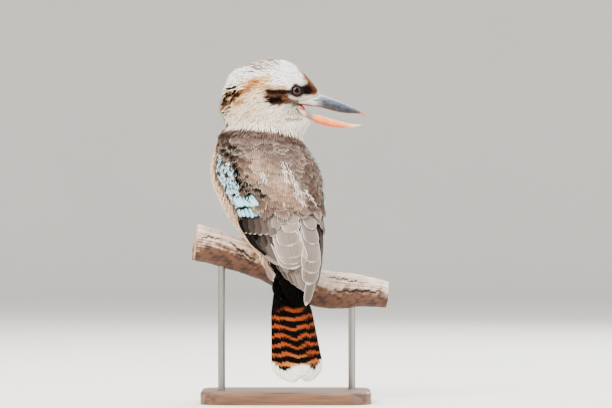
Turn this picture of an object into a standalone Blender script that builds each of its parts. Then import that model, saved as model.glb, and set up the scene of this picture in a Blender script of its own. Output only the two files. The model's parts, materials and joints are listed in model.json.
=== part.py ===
"""A laughing kookaburra, life size, perched on a cut length of branch on a plain display stand.

Lengths are written in millimetres and turned to metres by MM. +Z is up, the origin is the middle of
the stand's underside, and the bird is seen from behind along +Y, with its head turned to its right,
towards +X. The body is measured in its own directions: forward, to its left, and up.
"""

import math

import bmesh
import bpy
import numpy as np
from mathutils import Matrix, Vector

MM = 0.001
GAP = 0.35  # left between nodes that meet
FLAT_ANGLE = math.radians(1.8)  # between faces that count as one

# The bird's stance: where the body's own axes start, and which way it faces.
BODY_ORIGIN = np.array([0.0, -34.0, 0.0])
HEADING = math.radians(33)
FORWARD = np.array([-math.sin(HEADING), math.cos(HEADING), 0.0])
LEFTWARD = np.array([-math.cos(HEADING), -math.sin(HEADING), 0.0])
UP = np.array([0.0, 0.0, 1.0])
LEFT, RIGHT = 1, -1

# Neck and trunk with the folded wings, by height: forward, leftward, half side, half depth, turn.
# The turn is how far a section follows the heading: 1 on the trunk, 0 on the neck.
TRUNK = [
    (139.0, -13.0, 0.0, 9.0, 9.0, 1.0),
    (143.0, -13.0, 0.0, 20.0, 19.0, 1.0),
    (148.3, -13.5, 0.0, 26.5, 26.0, 1.0),
    (154.0, -12.9, 0.0, 32.0, 32.0, 1.0),
    (165.0, -9.3, 0.0, 35.3, 35.3, 1.0),
    (176.3, -1.6, 0.0, 40.6, 40.6, 1.0),
    (187.5, 6.6, 0.0, 45.6, 45.6, 1.0),
    (198.7, 14.8, 0.0, 50.0, 50.0, 1.0),
    (209.9, 22.4, 0.0, 54.0, 54.0, 1.0),
    (221.1, 28.6, 0.0, 56.7, 56.7, 1.0),
    (232.3, 33.9, 0.0, 58.8, 58.8, 1.0),
    (243.5, 38.4, 0.0, 60.8, 60.8, 1.0),
    (254.7, 42.5, 0.0, 61.9, 61.0, 1.0),
    (265.9, 44.8, 0.0, 60.2, 59.0, 1.0),
    (277.1, 48.3, 0.0, 55.6, 54.0, 0.9),
    (288.3, 53.0, 1.0, 50.1, 48.0, 0.6),
    (293.9, 51.8, 1.6, 48.0, 44.5, 0.4),
    (299.5, 50.2, 0.1, 47.0, 41.0, 0.2),
    (305.1, 47.3, -4.4, 46.0, 38.5, 0.0),
    (312.0, 46.0, -6.0, 46.5, 36.5, 0.0),
    (318.0, 48.0, -3.5, 45.0, 34.0, 0.0),
    (326.0, 50.0, -1.0, 40.0, 30.0, 0.0),
    (334.0, 50.0, -1.0, 30.0, 22.0, 0.0),
]
# The wings' cloak goes on below the trunk to the wing tips: height, forward, radius.
CLOAK_END = [(106.0, -29.0, 8.5), (112.0, -26.0, 14.0), (120.3, -22.0, 20.0), (131.5, -19.0, 24.9),
             (142.7, -16.0, 29.4), (153.9, -12.9, 32.0)]
COLLAR_HEIGHT = 296.5  # of the plane between neck and mantle, over COLLAR_POINT
COLLAR_POINT = (-30.0, 9.0)
COLLAR_SLOPE = (-0.12, -0.17)  # its rise towards +X and towards +Y

# The hollow in the trunk's flank that a folded wing lies in, by height: the angles from straight
# ahead of its front edge and of the scapulars' edge, and its depth.
WING_SEAT = [
    (142.0, 60.0, 214.0, 13.0),
    (154.0, 62.0, 214.0, 16.0),
    (165.0, 70.0, 214.0, 14.0),
    (176.0, 76.0, 212.0, 11.5),
    (198.0, 88.0, 206.0, 8.5),
    (210.0, 92.0, 178.0, 7.5),
    (221.0, 92.0, 156.0, 7.0),
    (232.0, 89.0, 140.0, 7.0),
    (249.0, 83.0, 124.0, 7.0),
    (266.0, 78.0, 114.0, 7.0),
    (277.0, 77.0, 107.0, 6.0),
    (290.0, 80.0, 98.0, 3.0),
]
SEAT_TOP = 289.0
SEAT_BLEND = 9.0  # degrees over which the hollow reaches its depth
SEAT_BACK_LIMIT = 164.7  # degrees up to which a ring's points follow the hollow
WING_SKIN = 1.2  # how far the wing's pad lies inside the plumage's outline

# Head: its own middle plane is y = HEAD_Y, facing +X. Stations: x, top, bottom, half width.
HEAD_Y = 9.0
CRANIUM = [
    (-71.5, 331.0, 326.0, 5.0),
    (-69.5, 342.0, 320.0, 13.0),
    (-66.5, 352.5, 316.5, 18.0),
    (-63.5, 361.5, 314.0, 22.0),
    (-59.0, 368.5, 311.0, 25.5),
    (-51.0, 373.5, 308.0, 29.5),
    (-40.5, 377.0, 306.5, 32.5),
    (-29.0, 380.5, 306.5, 33.8),
    (-18.0, 383.0, 308.0, 33.2),
    (-7.0, 384.5, 312.0, 31.0),
    (2.0, 383.5, 318.5, 28.0),
    (11.0, 378.5, 327.0, 24.6),
    (20.0, 370.5, 333.5, 20.5),
    (27.0, 362.5, 337.5, 16.0),
    (33.0, 354.5, 340.5, 11.5),
    (37.5, 348.0, 342.5, 7.5),
    (39.5, 345.6, 343.6, 4.0),
]
JAW = [
    (-30.0, 332.0, 309.0, 27.0),
    (-14.0, 332.0, 305.0, 26.5),
    (2.0, 330.0, 305.0, 23.5),
    (12.0, 327.5, 306.5, 19.0),
    (20.0, 324.5, 309.0, 14.0),
    (26.5, 320.0, 311.5, 9.5),
    (30.5, 316.5, 313.5, 5.0),
]
UPPER_BILL = [
    (14.5, 339.0, 334.0, 13.8),
    (20.0, 341.0, 333.0, 13.4),
    (28.0, 344.5, 331.6, 11.6),
    (37.5, 345.6, 330.5, 9.6),
    (45.0, 343.2, 328.6, 8.0),
    (52.0, 340.6, 326.6, 6.6),
    (59.0, 337.6, 325.0, 5.3),
    (66.0, 334.6, 324.0, 4.1),
    (73.0, 331.5, 323.6, 3.0),
    (79.0, 328.9, 323.6, 2.1),
    (84.0, 326.2, 322.9, 1.4),
    (87.5, 323.4, 321.0, 0.9),
    (89.6, 320.6, 319.4, 0.5),
]
LOWER_BILL = [
    (14.5, 331.3, 324.0, 12.9),
    (20.0, 329.0, 318.5, 12.2),
    (28.0, 325.5, 314.3, 10.9),
    (37.0, 322.6, 311.4, 9.4),
    (46.0, 320.0, 308.9, 7.9),
    (55.0, 317.2, 307.5, 6.4),
    (64.0, 314.4, 307.0, 4.9),
    (72.0, 312.2, 307.6, 3.4),
    (79.0, 311.4, 309.0, 2.0),
    (84.6, 311.2, 310.4, 0.6),
]
EYE_RADIUS = 7.0
EYE_PLACE = (11.5, 18.6, 348.4)  # x, out from the head's middle plane, height
LID_OPENING = 5.4
LID_THICK = 1.15
EYE_LOOK = (0.13, 1.0, 0.05)  # forward, out to its side, up
OPENING_REACH = 30.0  # from an eye's middle to well outside its lids
NOSTRIL_PLACE = (34.0, 9.3, 338.4)
NOSTRIL_SIZE = (7.0, 2.4, 1.3)
NOSTRIL_TURNS = (8.0, -11.0)  # degrees that it points down, and in towards the bill's ridge

# Powers of the ovals of a section's top and bottom: 2 is an ellipse, less is keeled, more is flat.
ROUND = (2.05, 2.05)
KEELED_TOP = (1.75, 3.2)
FLAT_TOP = (4.5, 1.9)
BILL_EDGE = 1.3  # thickness of the lower bill's cutting edges
TROUGH_DEPTH = 3.0
TROUGH_RISE = 2.0  # of the cutting body over the bill's edges
TROUGH_ENDS = (22.0, 76.0)
# Loose locks on the back of crown and nape: height, reach to either side in degrees, how many.
CROWN_LOCKS = [
    (373.0, 50.0, 3),
    (362.0, 60.0, 4),
    (350.0, 66.0, 4),
    (338.0, 60.0, 4),
]
HEAD_ROUNDNESS = 20.0  # radius that the back of the head's slopes are read by
HEAD_CENTRE_X = -20.0  # that the locks' turns are measured round
HEAD_BACK = (-71.0, 4.0)  # between which x a lock's root is looked for
HEAD_SEARCH_STEPS = 90
LOCK_LENGTH = 13.0
LOCK_LENGTHS = (0.75, 0.5)  # shortest share of that length, and how much more the draw may add
LOCK_WIDTH = 11.0
LOCK_THICK = 1.0
LOCK_SUNK = 1.2  # how deep its root lies in the head
LOCK_CURL = -0.1  # of its length, towards the head
LOCK_ASIDE = 0.25  # how far the outer locks point to their side
LOCK_FALL = (-0.22, -0.08)  # how far the top row points down, and each row more
LOCK_RISE = (0.16, 0.2)  # least share away from the head, and how much more the draw may add
LOCK_SEED = 11

# Wing: rows of feathers, each from its roots' height to its tips' height at the front and inner
# edges, how far its feathers move inwards on the way, how many, their width, and their tips' lift.
WING_ROWS = [
    ("primaries", (206.0, 190.0), (136.0, 106.0), (0.06, 0.52), (0.45, 0.97), 6, 14.0, 0.9),
    ("secondaries", (212.0, 214.0), (150.0, 142.0), (0.34, 0.92), (0.42, 0.93), 5, 18.0, 1.8),
    ("tertials", (226.0, 232.0), (176.0, 166.0), (0.42, 0.93), (0.44, 0.92), 4, 21.0, 2.7),
    ("greater coverts", (238.0, 244.0), (205.0, 204.0), (0.06, 0.92), (0.10, 0.93), 6, 18.0, 2.2),
    ("median coverts", (254.0, 260.0), (226.0, 225.0), (0.06, 0.90), (0.08, 0.92), 5, 18.0, 2.2),
    ("lesser coverts", (268.0, 274.0), (243.0, 242.0), (0.07, 0.88), (0.09, 0.90), 4, 18.0, 2.2),
    ("shoulder coverts", (281.0, 285.0), (258.0, 257.0), (0.14, 0.82), (0.12, 0.84), 3, 18.0, 1.8),
]
WING_INNER_LIMIT = 176.0  # degrees from straight ahead
MIDLINE_GAP = 0.5  # between each wing and the body's middle plane
VANE_THICK = 0.9
VANE_SUNK = 1.5  # how far a root's top lies under the pad's surface
VANE_TILT = 0.35  # how far one edge is raised over the other, for the next feather
VANE_STATIONS = (0.0, 0.5, 0.86, 1.0)
VANE_WIDTHS = (0.62, 1.0, 0.85, 0.3)
VANE_CAMBER = 0.02  # of its width
VANE_SETTLE = 1.1  # how early on its way a feather reaches its lift
VANE_CROWN = 0.12  # of a lock's width
WING_FLOOR_TOP = 150.0  # below this height the wings lie on the tail and not on the trunk
WING_FLOOR_BACK = 5.0  # how far their underside lies behind the tail's middle plane
WING_FLOOR_HALF = 70.0  # half the size of the block that cuts that underside

# Tail: the middle of the closed fan where it leaves the body, and its downward line.
TAIL_ROOT = (-6.0, 0.0, 172.0)  # forward, leftward, height
TAIL_LEAN = math.radians(9.3)
TAIL_LENGTH = 150.0
TAIL_FEATHERS = 12
TAIL_FEATHER_WIDTH = 25.0
TAIL_HALF_FAN = math.radians(6.2)
TAIL_THICK = 0.9
TAIL_STEP = 1.15  # between one feather's level and the next
TAIL_ROOT_HALF = 8.0
TAIL_OUTER_SHORTER = 9.0
TAIL_NOTCH = 6.3  # how much shorter the middle feathers are
TAIL_NOTCH_REACH = 0.47  # share of the half fan that the notch takes up
TAIL_ASIDE = 0.019  # how far the tail swings to the bird's right, per length
TAIL_CAMBER = 0.8
TAIL_STATIONS = (0.22, 0.5, 0.94, 1.0)
TAIL_WIDTHS = (0.40, 0.9, 0.9, 0.45)
# The tail's fleshy root and coverts, down the tail: distance, half width, half thickness.
TAIL_CORE = [(-6.0, 4.0, 3.5), (4.0, 9.0, 7.0), (20.0, 13.0, 8.5), (31.0, 18.0, 8.0), (42.0, 23.0, 6.8),
             (50.0, 21.0, 5.6), (55.0, 17.0, 4.6)]
TAIL_CORE_FORWARD = 2.6

# Perch: the branch's middle line by x: y, height, radius.
PERCH = [
    (-101.0, -10.6, 179.0, 20.5),
    (-85.0, -7.2, 175.5, 19.6),
    (-65.0, -3.0, 169.0, 19.4),
    (-45.0, 1.3, 162.8, 19.2),
    (-25.0, 5.5, 155.2, 19.4),
    (-5.0, 9.8, 146.0, 19.8),
    (16.0, 14.2, 136.0, 20.3),
    (38.0, 18.9, 127.8, 20.6),
    (60.0, 22.6, 124.8, 20.4),
    (83.0, 25.8, 124.0, 18.4),
    (104.0, 28.4, 121.6, 16.4),
    (114.0, 29.6, 120.0, 15.4),
]
PERCH_SIDES = 16
PERCH_SLICES = 20
PERCH_UNEVEN = 0.035  # of the radius
# Waves round the branch: how many, how they turn along it per millimetre, start and share.
PERCH_WAVES = [(2, 0.04, 0.0, 1.0), (3, -0.07, 1.0, 0.6)]

# Feet: where each stands on the perch, and how it points.
FOOT_X = {LEFT: -44.0, RIGHT: -8.0}
TOE_RADIUS = 3.0
FOOT_TURN = 22.0  # degrees between the feet's own heading and straight across the perch
FOOT_FORWARD = 0.16  # radians from the perch's top
FOOT_PAD = 4.0
# Toe number: turn from straight ahead, length over the perch, radius factor.
TOES = {1: (180.0, 17.0, 1.0), 2: (26.0, 19.0, 0.92), 3: (2.0, 26.0, 1.0), 4: (-14.0, 23.0, 0.95)}
TOE_TAPER = (1.0, 0.98, 0.88, 0.95, 0.78, 0.62)
CLAW_LENGTH = 8.0
CLAW_RADIUS = 1.7
CLAW_TAPER = (1.0, 0.86, 0.66, 0.42, 0.2)
CLAW_ARCH = (0.1, 0.9, 1.1, 0.6, 0.0)  # of its middle line over the perch
LEG_RADIUS = 3.4
LEG_LENGTH = 30.0
LEG_LEAN = 0.1  # backwards, per length
LEG_SUNK = 1.5  # of its foot end in the pad's height

# Stand
BASE_SIZE = (190.0, 130.0, 14.0)
BASE_CORNER = 28.0
BASE_EDGE = 2.0
ROD_RADIUS = 4.0
ROD_X = {"left": -72.0, "right": 74.0}
ROD_DEPTH_IN_PERCH = 9.0
ROD_DEPTH_IN_BASE = 8.0

# How finely round forms are faceted.
RING_POINTS = 22
BILL_POINTS = 16
TROUGH_POINTS = 12
TROUGH_STATIONS = 7
CLOAK_POINTS = 32
TAIL_POINTS = 20
SEAT_POINTS = 6
BACK_POINTS = 4
EYE_SIDES = (16, 10)  # round and from pole to pole
NOSTRIL_SIDES = (14, 8)
PAD_SIDES = (10, 6)
TOE_SIDES = 8
CLAW_SIDES = 6
LEG_SIDES = 12
LEG_STATIONS = 6
BASE_CORNER_STEPS = 5
SHARP_FROM = math.radians(38)  # angle between faces that stays a visible edge
CUTTER_SIZE = 400.0  # of a block that cuts half of the bird away


def clear_scene():
    """Removes what the starting scene holds."""
    for thing in list(bpy.data.objects):
        bpy.data.objects.remove(thing)


def collection(name, hidden=False):
    """A new collection in the scene, left out of the render if it holds helpers."""
    made = bpy.data.collections.new(name)
    made.hide_render = hidden
    bpy.context.scene.collection.children.link(made)
    return made


def material(name, colour, roughness, metallic=0.0):
    """A Principled material of one colour, given as linear red, green and blue."""
    made = bpy.data.materials.new(name)
    made.use_nodes = True
    shader = made.node_tree.nodes["Principled BSDF"]
    shader.inputs["Base Color"].default_value = (*colour, 1.0)
    shader.inputs["Roughness"].default_value = roughness
    shader.inputs["Metallic"].default_value = metallic
    return made


def smooth_rows(stations, keys):
    """Rows read at the keys, which rise in column 0, from a smooth curve through the stations."""
    rows = np.array(stations, float)
    knots, values = rows[:, 0], rows[:, 1:]
    keys = np.clip(np.asarray(keys, float), knots[0], knots[-1])
    slopes = np.gradient(values, knots, axis=0)
    place = np.clip(np.searchsorted(knots, keys) - 1, 0, len(knots) - 2)
    span = (knots[place + 1] - knots[place])[..., None]
    t = (keys - knots[place])[..., None] / span
    start, end = values[place], values[place + 1]
    return (
        (1 + 2 * t) * (1 - t) ** 2 * start
        + t * (1 - t) ** 2 * span * slopes[place]
        + t * t * (3 - 2 * t) * end
        + t * t * (t - 1) * span * slopes[place + 1]
    )


def ease(value):
    """0 below 0, 1 above 1, and smooth between."""
    t = np.clip(value, 0.0, 1.0)
    return t * t * (3 - 2 * t)


def in_body(forward, leftward, height):
    """World millimetres of a place given in the body's own directions."""
    return (
        BODY_ORIGIN
        + np.multiply.outer(forward, FORWARD)
        + np.multiply.outer(leftward, LEFTWARD)
        + np.multiply.outer(height, UP)
    )


def mesh_object(name, points, faces, where):
    """An object from points in millimetres, with its faces turned outwards."""
    mesh = bpy.data.meshes.new(name)
    mesh.from_pydata((np.asarray(points) * MM).tolist(), [], faces)
    form = bmesh.new()
    form.from_mesh(mesh)
    bmesh.ops.recalc_face_normals(form, faces=form.faces)
    form.to_mesh(mesh)
    form.free()
    thing = bpy.data.objects.new(name, mesh)
    where.objects.link(thing)
    return thing


def loft(name, rings, where):
    """A closed body through rings of equal point count, capped at both ends."""
    count, sides = rings.shape[:2]
    faces = []
    for ring in range(count - 1):
        for side in range(sides):
            following = (side + 1) % sides
            low, high = ring * sides, (ring + 1) * sides
            faces.append((low + side, low + following, high + following))
            faces.append((low + side, high + following, high + side))
    faces.append(tuple(range(sides)))
    faces.append(tuple((count - 1) * sides + side for side in range(sides)))
    return mesh_object(name, rings.reshape(-1, 3), faces, where)


def plate(name, top, bottom, where):
    """A thin closed body between two grids of points, both split into the same triangles."""
    along, across = top.shape[:2]
    under = along * across
    faces = []

    def corner(i, j):
        return i * across + j

    for i in range(along - 1):
        for j in range(across - 1):
            a, b, c, d = corner(i, j), corner(i + 1, j), corner(i + 1, j + 1), corner(i, j + 1)
            for triangle in ((a, b, c), (a, c, d)):
                faces.append(triangle)
                faces.append(tuple(under + k for k in reversed(triangle)))
    rim = [corner(i, 0) for i in range(along)]
    rim += [corner(along - 1, j) for j in range(1, across)]
    rim += [corner(i, across - 1) for i in reversed(range(along - 1))]
    rim += [corner(0, j) for j in reversed(range(1, across - 1))]
    for here, there in zip(rim, rim[1:] + rim[:1]):
        faces.append((here, there, under + there))
        faces.append((here, under + there, under + here))
    points = np.concatenate([top.reshape(-1, 3), bottom.reshape(-1, 3)])
    return mesh_object(name, points, faces, where)


def evaluated(thing):
    """Puts the object's modifiers into its mesh."""
    graph = bpy.context.evaluated_depsgraph_get()
    made = bpy.data.meshes.new_from_object(thing.evaluated_get(graph))
    made.name = thing.name
    thing.modifiers.clear()
    thing.data = made


def keep_largest(thing):
    """Leaves only the closed surface with the largest box, with its flat faces merged."""
    form = bmesh.new()
    form.from_mesh(thing.data)
    unseen, shells = set(form.faces), []
    while unseen:
        queue, shell = [unseen.pop()], []
        while queue:
            face = queue.pop()
            shell.append(face)
            for edge in face.edges:
                for other in edge.link_faces:
                    if other in unseen:
                        unseen.remove(other)
                        queue.append(other)
        shells.append(shell)

    def spread(shell):
        places = np.array([vert.co for face in shell for vert in face.verts])
        return float(np.linalg.norm(places.max(axis=0) - places.min(axis=0)))

    shells.sort(key=spread)
    for shell in shells[:-1]:
        bmesh.ops.delete(form, geom=shell, context="FACES")
    bmesh.ops.dissolve_limit(form, angle_limit=FLAT_ANGLE, verts=form.verts, edges=form.edges)
    bmesh.ops.triangulate(form, faces=form.faces)
    form.to_mesh(thing.data)
    form.free()


def boolean(thing, others, operation, solver="MANIFOLD"):
    """Joins the others to the object, or cuts them from it, and removes them."""
    helpers = collection("operands", hidden=True)
    for other in others:
        for holder in list(other.users_collection):
            holder.objects.unlink(other)
        helpers.objects.link(other)
        other.hide_render = True
    modifier = thing.modifiers.new(operation.lower(), "BOOLEAN")
    modifier.operation = operation
    modifier.operand_type = "COLLECTION"
    modifier.collection = helpers
    modifier.solver = solver
    evaluated(thing)
    for other in others:
        bpy.data.objects.remove(other)
    bpy.data.collections.remove(helpers)
    keep_largest(thing)
    return thing


def slab(name, point, normal, where, size=260.0):
    """A large block whose face lies at the point, on the side that the normal points to."""
    bpy.ops.mesh.primitive_cube_add(size=size * MM)
    block = adopt(bpy.context.object, name, where)
    direction = Vector(normal).normalized()
    middle = Vector(point) * MM + direction * (size / 2 * MM)
    turn = direction.to_track_quat("Z", "Y").to_matrix().to_4x4()
    block.data.transform(Matrix.Translation(middle) @ turn)
    return block


def adopt(thing, name, where):
    """Names an object just made by an operator and moves it to the collection."""
    thing.name = name
    for holder in list(thing.users_collection):
        holder.objects.unlink(thing)
    where.objects.link(thing)
    return thing


def ball(name, centre, radii, where, segments=20, rings=12, turn=None):
    """An ellipsoid from a sphere, turned if a rotation is given, in millimetres."""
    bpy.ops.mesh.primitive_uv_sphere_add(segments=segments, ring_count=rings, radius=1.0)
    thing = adopt(bpy.context.object, name, where)
    shape = Matrix.Diagonal([*(radius * MM for radius in radii), 1.0])
    if turn is not None:
        shape = turn.to_4x4() @ shape
    thing.data.transform(Matrix.Translation(Vector(centre) * MM) @ shape)
    return thing


def rod(name, low, high, radius, where, sides=24):
    """A round bar between two places."""
    low, high = Vector(low), Vector(high)
    along = high - low
    bpy.ops.mesh.primitive_cylinder_add(vertices=sides, radius=radius * MM, depth=along.length * MM)
    thing = adopt(bpy.context.object, name, where)
    turn = along.to_track_quat("Z", "Y").to_matrix().to_4x4()
    thing.data.transform(Matrix.Translation((low + high) / 2 * MM) @ turn)
    return thing


def unit(vectors):
    """Each vector at length 1."""
    return vectors / np.linalg.norm(vectors, axis=-1, keepdims=True)


def tube(name, path, radii, where, sides=8):
    """A round tapered bar along a path of points, capped at both ends."""
    path = np.asarray(path, float)
    along = unit(np.gradient(path, axis=0))
    start = np.cross(along[0], (0.31, 0.22, 0.93))
    rings = []
    for point, direction, radius in zip(path, along, radii):
        first = unit(np.cross(np.cross(direction, start), direction))
        second = np.cross(direction, first)
        turns = np.arange(sides) * 2 * math.pi / sides
        ring = np.outer(np.cos(turns), first) + np.outer(np.sin(turns), second)
        rings.append(point + ring * radius)
        start = first
    return loft(name, np.array(rings), where)


def trunk_row(height):
    """Forward, leftward, half side, half depth and turn of the plumage's outline at heights."""
    low = np.array(CLOAK_END)
    down = np.column_stack([low[:, :2], np.zeros(len(low)), low[:, 2], low[:, 2], np.ones(len(low))])
    upper = np.array([row for row in TRUNK if row[0] > low[-1, 0] + 1])
    return smooth_rows(np.concatenate([down, upper]), height)


def section_points(rows, heights, angles, change):
    """Points of sections at angles from straight ahead, towards the left, moved out by the change."""
    forward, leftward, side, depth, turn = (rows[..., k] for k in range(5))
    heading = HEADING * turn
    ahead = np.cos(angles)
    aside = np.sin(angles)
    reach = 1 / np.sqrt((ahead / depth) ** 2 + (aside / side) ** 2) + change
    middle = BODY_ORIGIN + np.multiply.outer(forward, FORWARD) + np.multiply.outer(leftward, LEFTWARD)
    x = -np.sin(heading) * ahead - np.cos(heading) * aside
    y = np.cos(heading) * ahead - np.sin(heading) * aside
    return np.stack([middle[..., 0] + x * reach, middle[..., 1] + y * reach, heights + 0 * reach], axis=-1)


def seat_at(height):
    """The wing seat's front edge and inner edge, in radians, and its depth."""
    front, inner, depth = np.moveaxis(smooth_rows(WING_SEAT, height), -1, 0)
    return np.radians(front), np.radians(inner), depth


def trunk_loft(name, extra, where):
    """Neck and trunk in one body, with the wings' seats sunk in its flanks and rump."""
    heights = [row[0] for row in TRUNK]
    rows = smooth_rows(TRUNK, heights)
    blend = math.radians(SEAT_BLEND)
    rings = []
    for height, row in zip(heights, rows):
        front, inner, depth = seat_at(height)
        if height > SEAT_TOP:
            depth = 0.0
        across = np.minimum(inner, math.radians(SEAT_BACK_LIMIT))
        middle = depth * ease((inner - math.radians(WING_INNER_LIMIT)) / blend)
        ahead = np.linspace(0, front, SEAT_POINTS)
        sunk = np.linspace(front + blend, across - blend, SEAT_POINTS)
        behind = np.linspace(across, math.pi, BACK_POINTS)
        angles = np.concatenate([ahead, sunk, behind])
        inward = np.concatenate([0 * ahead, 0 * sunk + depth, 0 * behind + middle])
        angles = np.concatenate([angles, -angles[-2:0:-1]])
        inward = np.concatenate([inward, inward[-2:0:-1]])
        level = height - extra if height == heights[0] else height
        rings.append(section_points(row, level, angles, extra - inward))
    return loft(name, np.array(rings), where)


def head_loft(name, stations, extra, powers, where, sides=RING_POINTS):
    """A body along +X on the head's middle plane, through ovals with a power each for top and bottom."""
    rings = []
    turns = np.arange(sides) * 2 * math.pi / sides
    power = np.where(np.cos(turns) > 0, powers[0], powers[1])
    for x, top, bottom, half in stations:
        tall = (top - bottom) / 2 + extra
        up = np.sign(np.cos(turns)) * np.abs(np.cos(turns)) ** (2 / power) * tall
        out = np.sign(np.sin(turns)) * np.abs(np.sin(turns)) ** (2 / power) * (half + extra)
        rings.append(np.column_stack([x + 0 * up, HEAD_Y + out, (top + bottom) / 2 + up]))
    rings[0][:, 0] -= extra
    rings[-1][:, 0] += extra
    return loft(name, np.array(rings), where)


def stations_between(stations, count):
    """The same form with its stations evenly spaced."""
    keys = np.linspace(stations[0][0], stations[-1][0], count)
    return np.column_stack([keys, smooth_rows(stations, keys)])


def head_flesh(extra, where):
    """Cranium and jaw in one body."""
    cranium = head_loft("cranium", CRANIUM, extra, ROUND, where)
    jaw = head_loft("jaw", JAW, extra, ROUND, where)
    return boolean(cranium, [jaw], "UNION")


def lock(name, root, direction, outward, length, where):
    """A flat tapered lock from a root, which lies in a surface whose outward side is given."""
    direction = unit(np.asarray(direction, float))
    outward = unit(np.asarray(outward, float))
    across = unit(np.cross(direction, outward))
    outward = np.cross(across, direction)
    shares = np.array([0.0, 0.6, 1.0])
    widths = np.array([0.8, 0.9, 0.16]) * LOCK_WIDTH / 2
    bend = LOCK_CURL * shares ** 2 * length
    line = root + np.outer(shares * length, direction) + np.outer(bend, outward)
    sides = np.array([-1.0, 0.0, 1.0])
    crown = np.array([0.0, VANE_CROWN, 0.0]) * LOCK_WIDTH
    top = line[:, None] + widths[:, None, None] * sides[:, None] * across + crown[:, None] * outward
    return plate(name, top, top - outward * LOCK_THICK, where)


def build_head(part, work):
    """Head with its lids, eye sockets, and the loose locks of crown and nape."""
    head = head_flesh(0.0, work)
    for side in (LEFT, RIGHT):
        centre = eye_centre(side)
        lids = ball("lids", centre, [EYE_RADIUS + GAP + LID_THICK] * 3, work, *EYE_SIDES)
        boolean(head, [lids], "UNION")
    locks = []
    draw = np.random.default_rng(LOCK_SEED)
    for level, (height, reach, count) in enumerate(CROWN_LOCKS):
        for turn in np.linspace(-1, 1, count):
            root, outward = head_place(height, turn * reach)
            fall = LOCK_FALL[0] + LOCK_FALL[1] * level
            direction = np.array([-1.0, LOCK_ASIDE * turn, fall])
            direction += outward * (LOCK_RISE[0] + LOCK_RISE[1] * draw.random())
            length = LOCK_LENGTH * (LOCK_LENGTHS[0] + LOCK_LENGTHS[1] * draw.random())
            locks.append(lock("lock", root - outward * LOCK_SUNK, direction, outward, length, work))
    boolean(head, locks, "UNION")
    for side in (LEFT, RIGHT):
        centre = eye_centre(side)
        socket = ball("socket", centre, [EYE_RADIUS + GAP] * 3, work, *EYE_SIDES)
        far = centre + eye_axis(side) * OPENING_REACH
        opening = rod("opening", centre, far, LID_OPENING, work)
        boolean(socket, [opening], "UNION")
        boolean(head, [socket], "DIFFERENCE")
    return finish(head, "head", part, "feather_white")


def head_place(height, turn_degrees):
    """A point on the back of the cranium and its outward direction, by height and turn from -X."""
    turn = math.radians(turn_degrees)
    tops = np.array(CRANIUM)
    best = None
    for x in np.linspace(*HEAD_BACK, HEAD_SEARCH_STEPS):
        top, bottom, half = smooth_rows(tops, x)
        middle, tall = (top + bottom) / 2, (top - bottom) / 2
        rise = (height - middle) / tall
        if abs(rise) >= 1:
            continue
        out = half * math.sqrt(1 - rise * rise)
        reach = math.atan2(out, HEAD_CENTRE_X - x)
        if best is None or abs(reach - abs(turn)) < best[0]:
            best = (abs(reach - abs(turn)), x, out, middle, tall, half)
    _, x, out, middle, tall, half = best
    side = 1 if turn >= 0 else -1
    point = np.array([x, HEAD_Y + side * out, height])
    slope = (side * out / half ** 2 * HEAD_ROUNDNESS, (height - middle) / tall ** 2 * HEAD_ROUNDNESS)
    outward = unit(np.array([-math.cos(turn), *slope]))
    return point, outward


def eye_centre(side):
    """The middle of one eye. The bird's right eye is the one nearer the viewer."""
    x, out, height = EYE_PLACE
    return np.array([x, HEAD_Y + side * out, height])


def eye_axis(side):
    """The way that one eye looks: out to its side and a little forward and up."""
    forward, out, up = EYE_LOOK
    return unit(np.array([forward, side * out, up]))


def build_eyes(part, work):
    """Both eyeballs, in their sockets."""
    for side, name in ((LEFT, "left"), (RIGHT, "right")):
        eye = ball("eye", eye_centre(side), [EYE_RADIUS] * 3, work, *EYE_SIDES)
        finish(eye, f"eye_{name}", part, "eye")


def build_bill(part, work):
    """Both halves of the open bill, cut where they leave the feathers of the face."""
    upper_rows = stations_between(UPPER_BILL, len(UPPER_BILL))
    upper = head_loft("upper", upper_rows, 0.0, KEELED_TOP, work, BILL_POINTS)
    nostrils = []
    for side in (LEFT, RIGHT):
        x, out, height = NOSTRIL_PLACE
        centre = (x, HEAD_Y + side * out, height)
        dip, toe_in = (math.radians(turn) for turn in NOSTRIL_TURNS)
        turn = Matrix.Rotation(dip, 3, "Y") @ Matrix.Rotation(toe_in * side, 3, "Z")
        sizes = [size / 2 for size in NOSTRIL_SIZE]
        nostrils.append(ball("nostril", centre, sizes, work, *NOSTRIL_SIDES, turn))
    boolean(upper, nostrils, "DIFFERENCE")
    boolean(upper, [head_flesh(GAP, work)], "DIFFERENCE")
    finish(upper, "upper_bill", part, "bill_dark")
    lower_rows = stations_between(LOWER_BILL, len(LOWER_BILL) + 1)
    lower = head_loft("lower", lower_rows, 0.0, FLAT_TOP, work, BILL_POINTS)
    trough = head_loft("trough", trough_stations(), 0.0, ROUND, work, TROUGH_POINTS)
    boolean(lower, [trough], "DIFFERENCE")
    boolean(lower, [head_flesh(GAP, work)], "DIFFERENCE")
    finish(lower, "lower_bill", part, "bill_pale")


def trough_stations():
    """The hollow along the lower bill's upper side, which leaves its cutting edges standing."""
    keys = np.linspace(*TROUGH_ENDS, TROUGH_STATIONS)
    rows = smooth_rows(LOWER_BILL, keys)
    half = rows[:, 2] - BILL_EDGE
    return np.column_stack([keys, rows[:, 0] + TROUGH_RISE, rows[:, 0] - TROUGH_DEPTH, half])


def collar_plane(side, work):
    """The block above the collar's plane, or below it."""
    point = (COLLAR_POINT[0], COLLAR_POINT[1], COLLAR_HEIGHT)
    normal = np.array([-COLLAR_SLOPE[0], -COLLAR_SLOPE[1], 1.0])
    place = np.array(point) + unit(normal) * (GAP if side < 0 else 0.0)
    return slab("above" if side > 0 else "below", place, normal * side, work)


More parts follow.
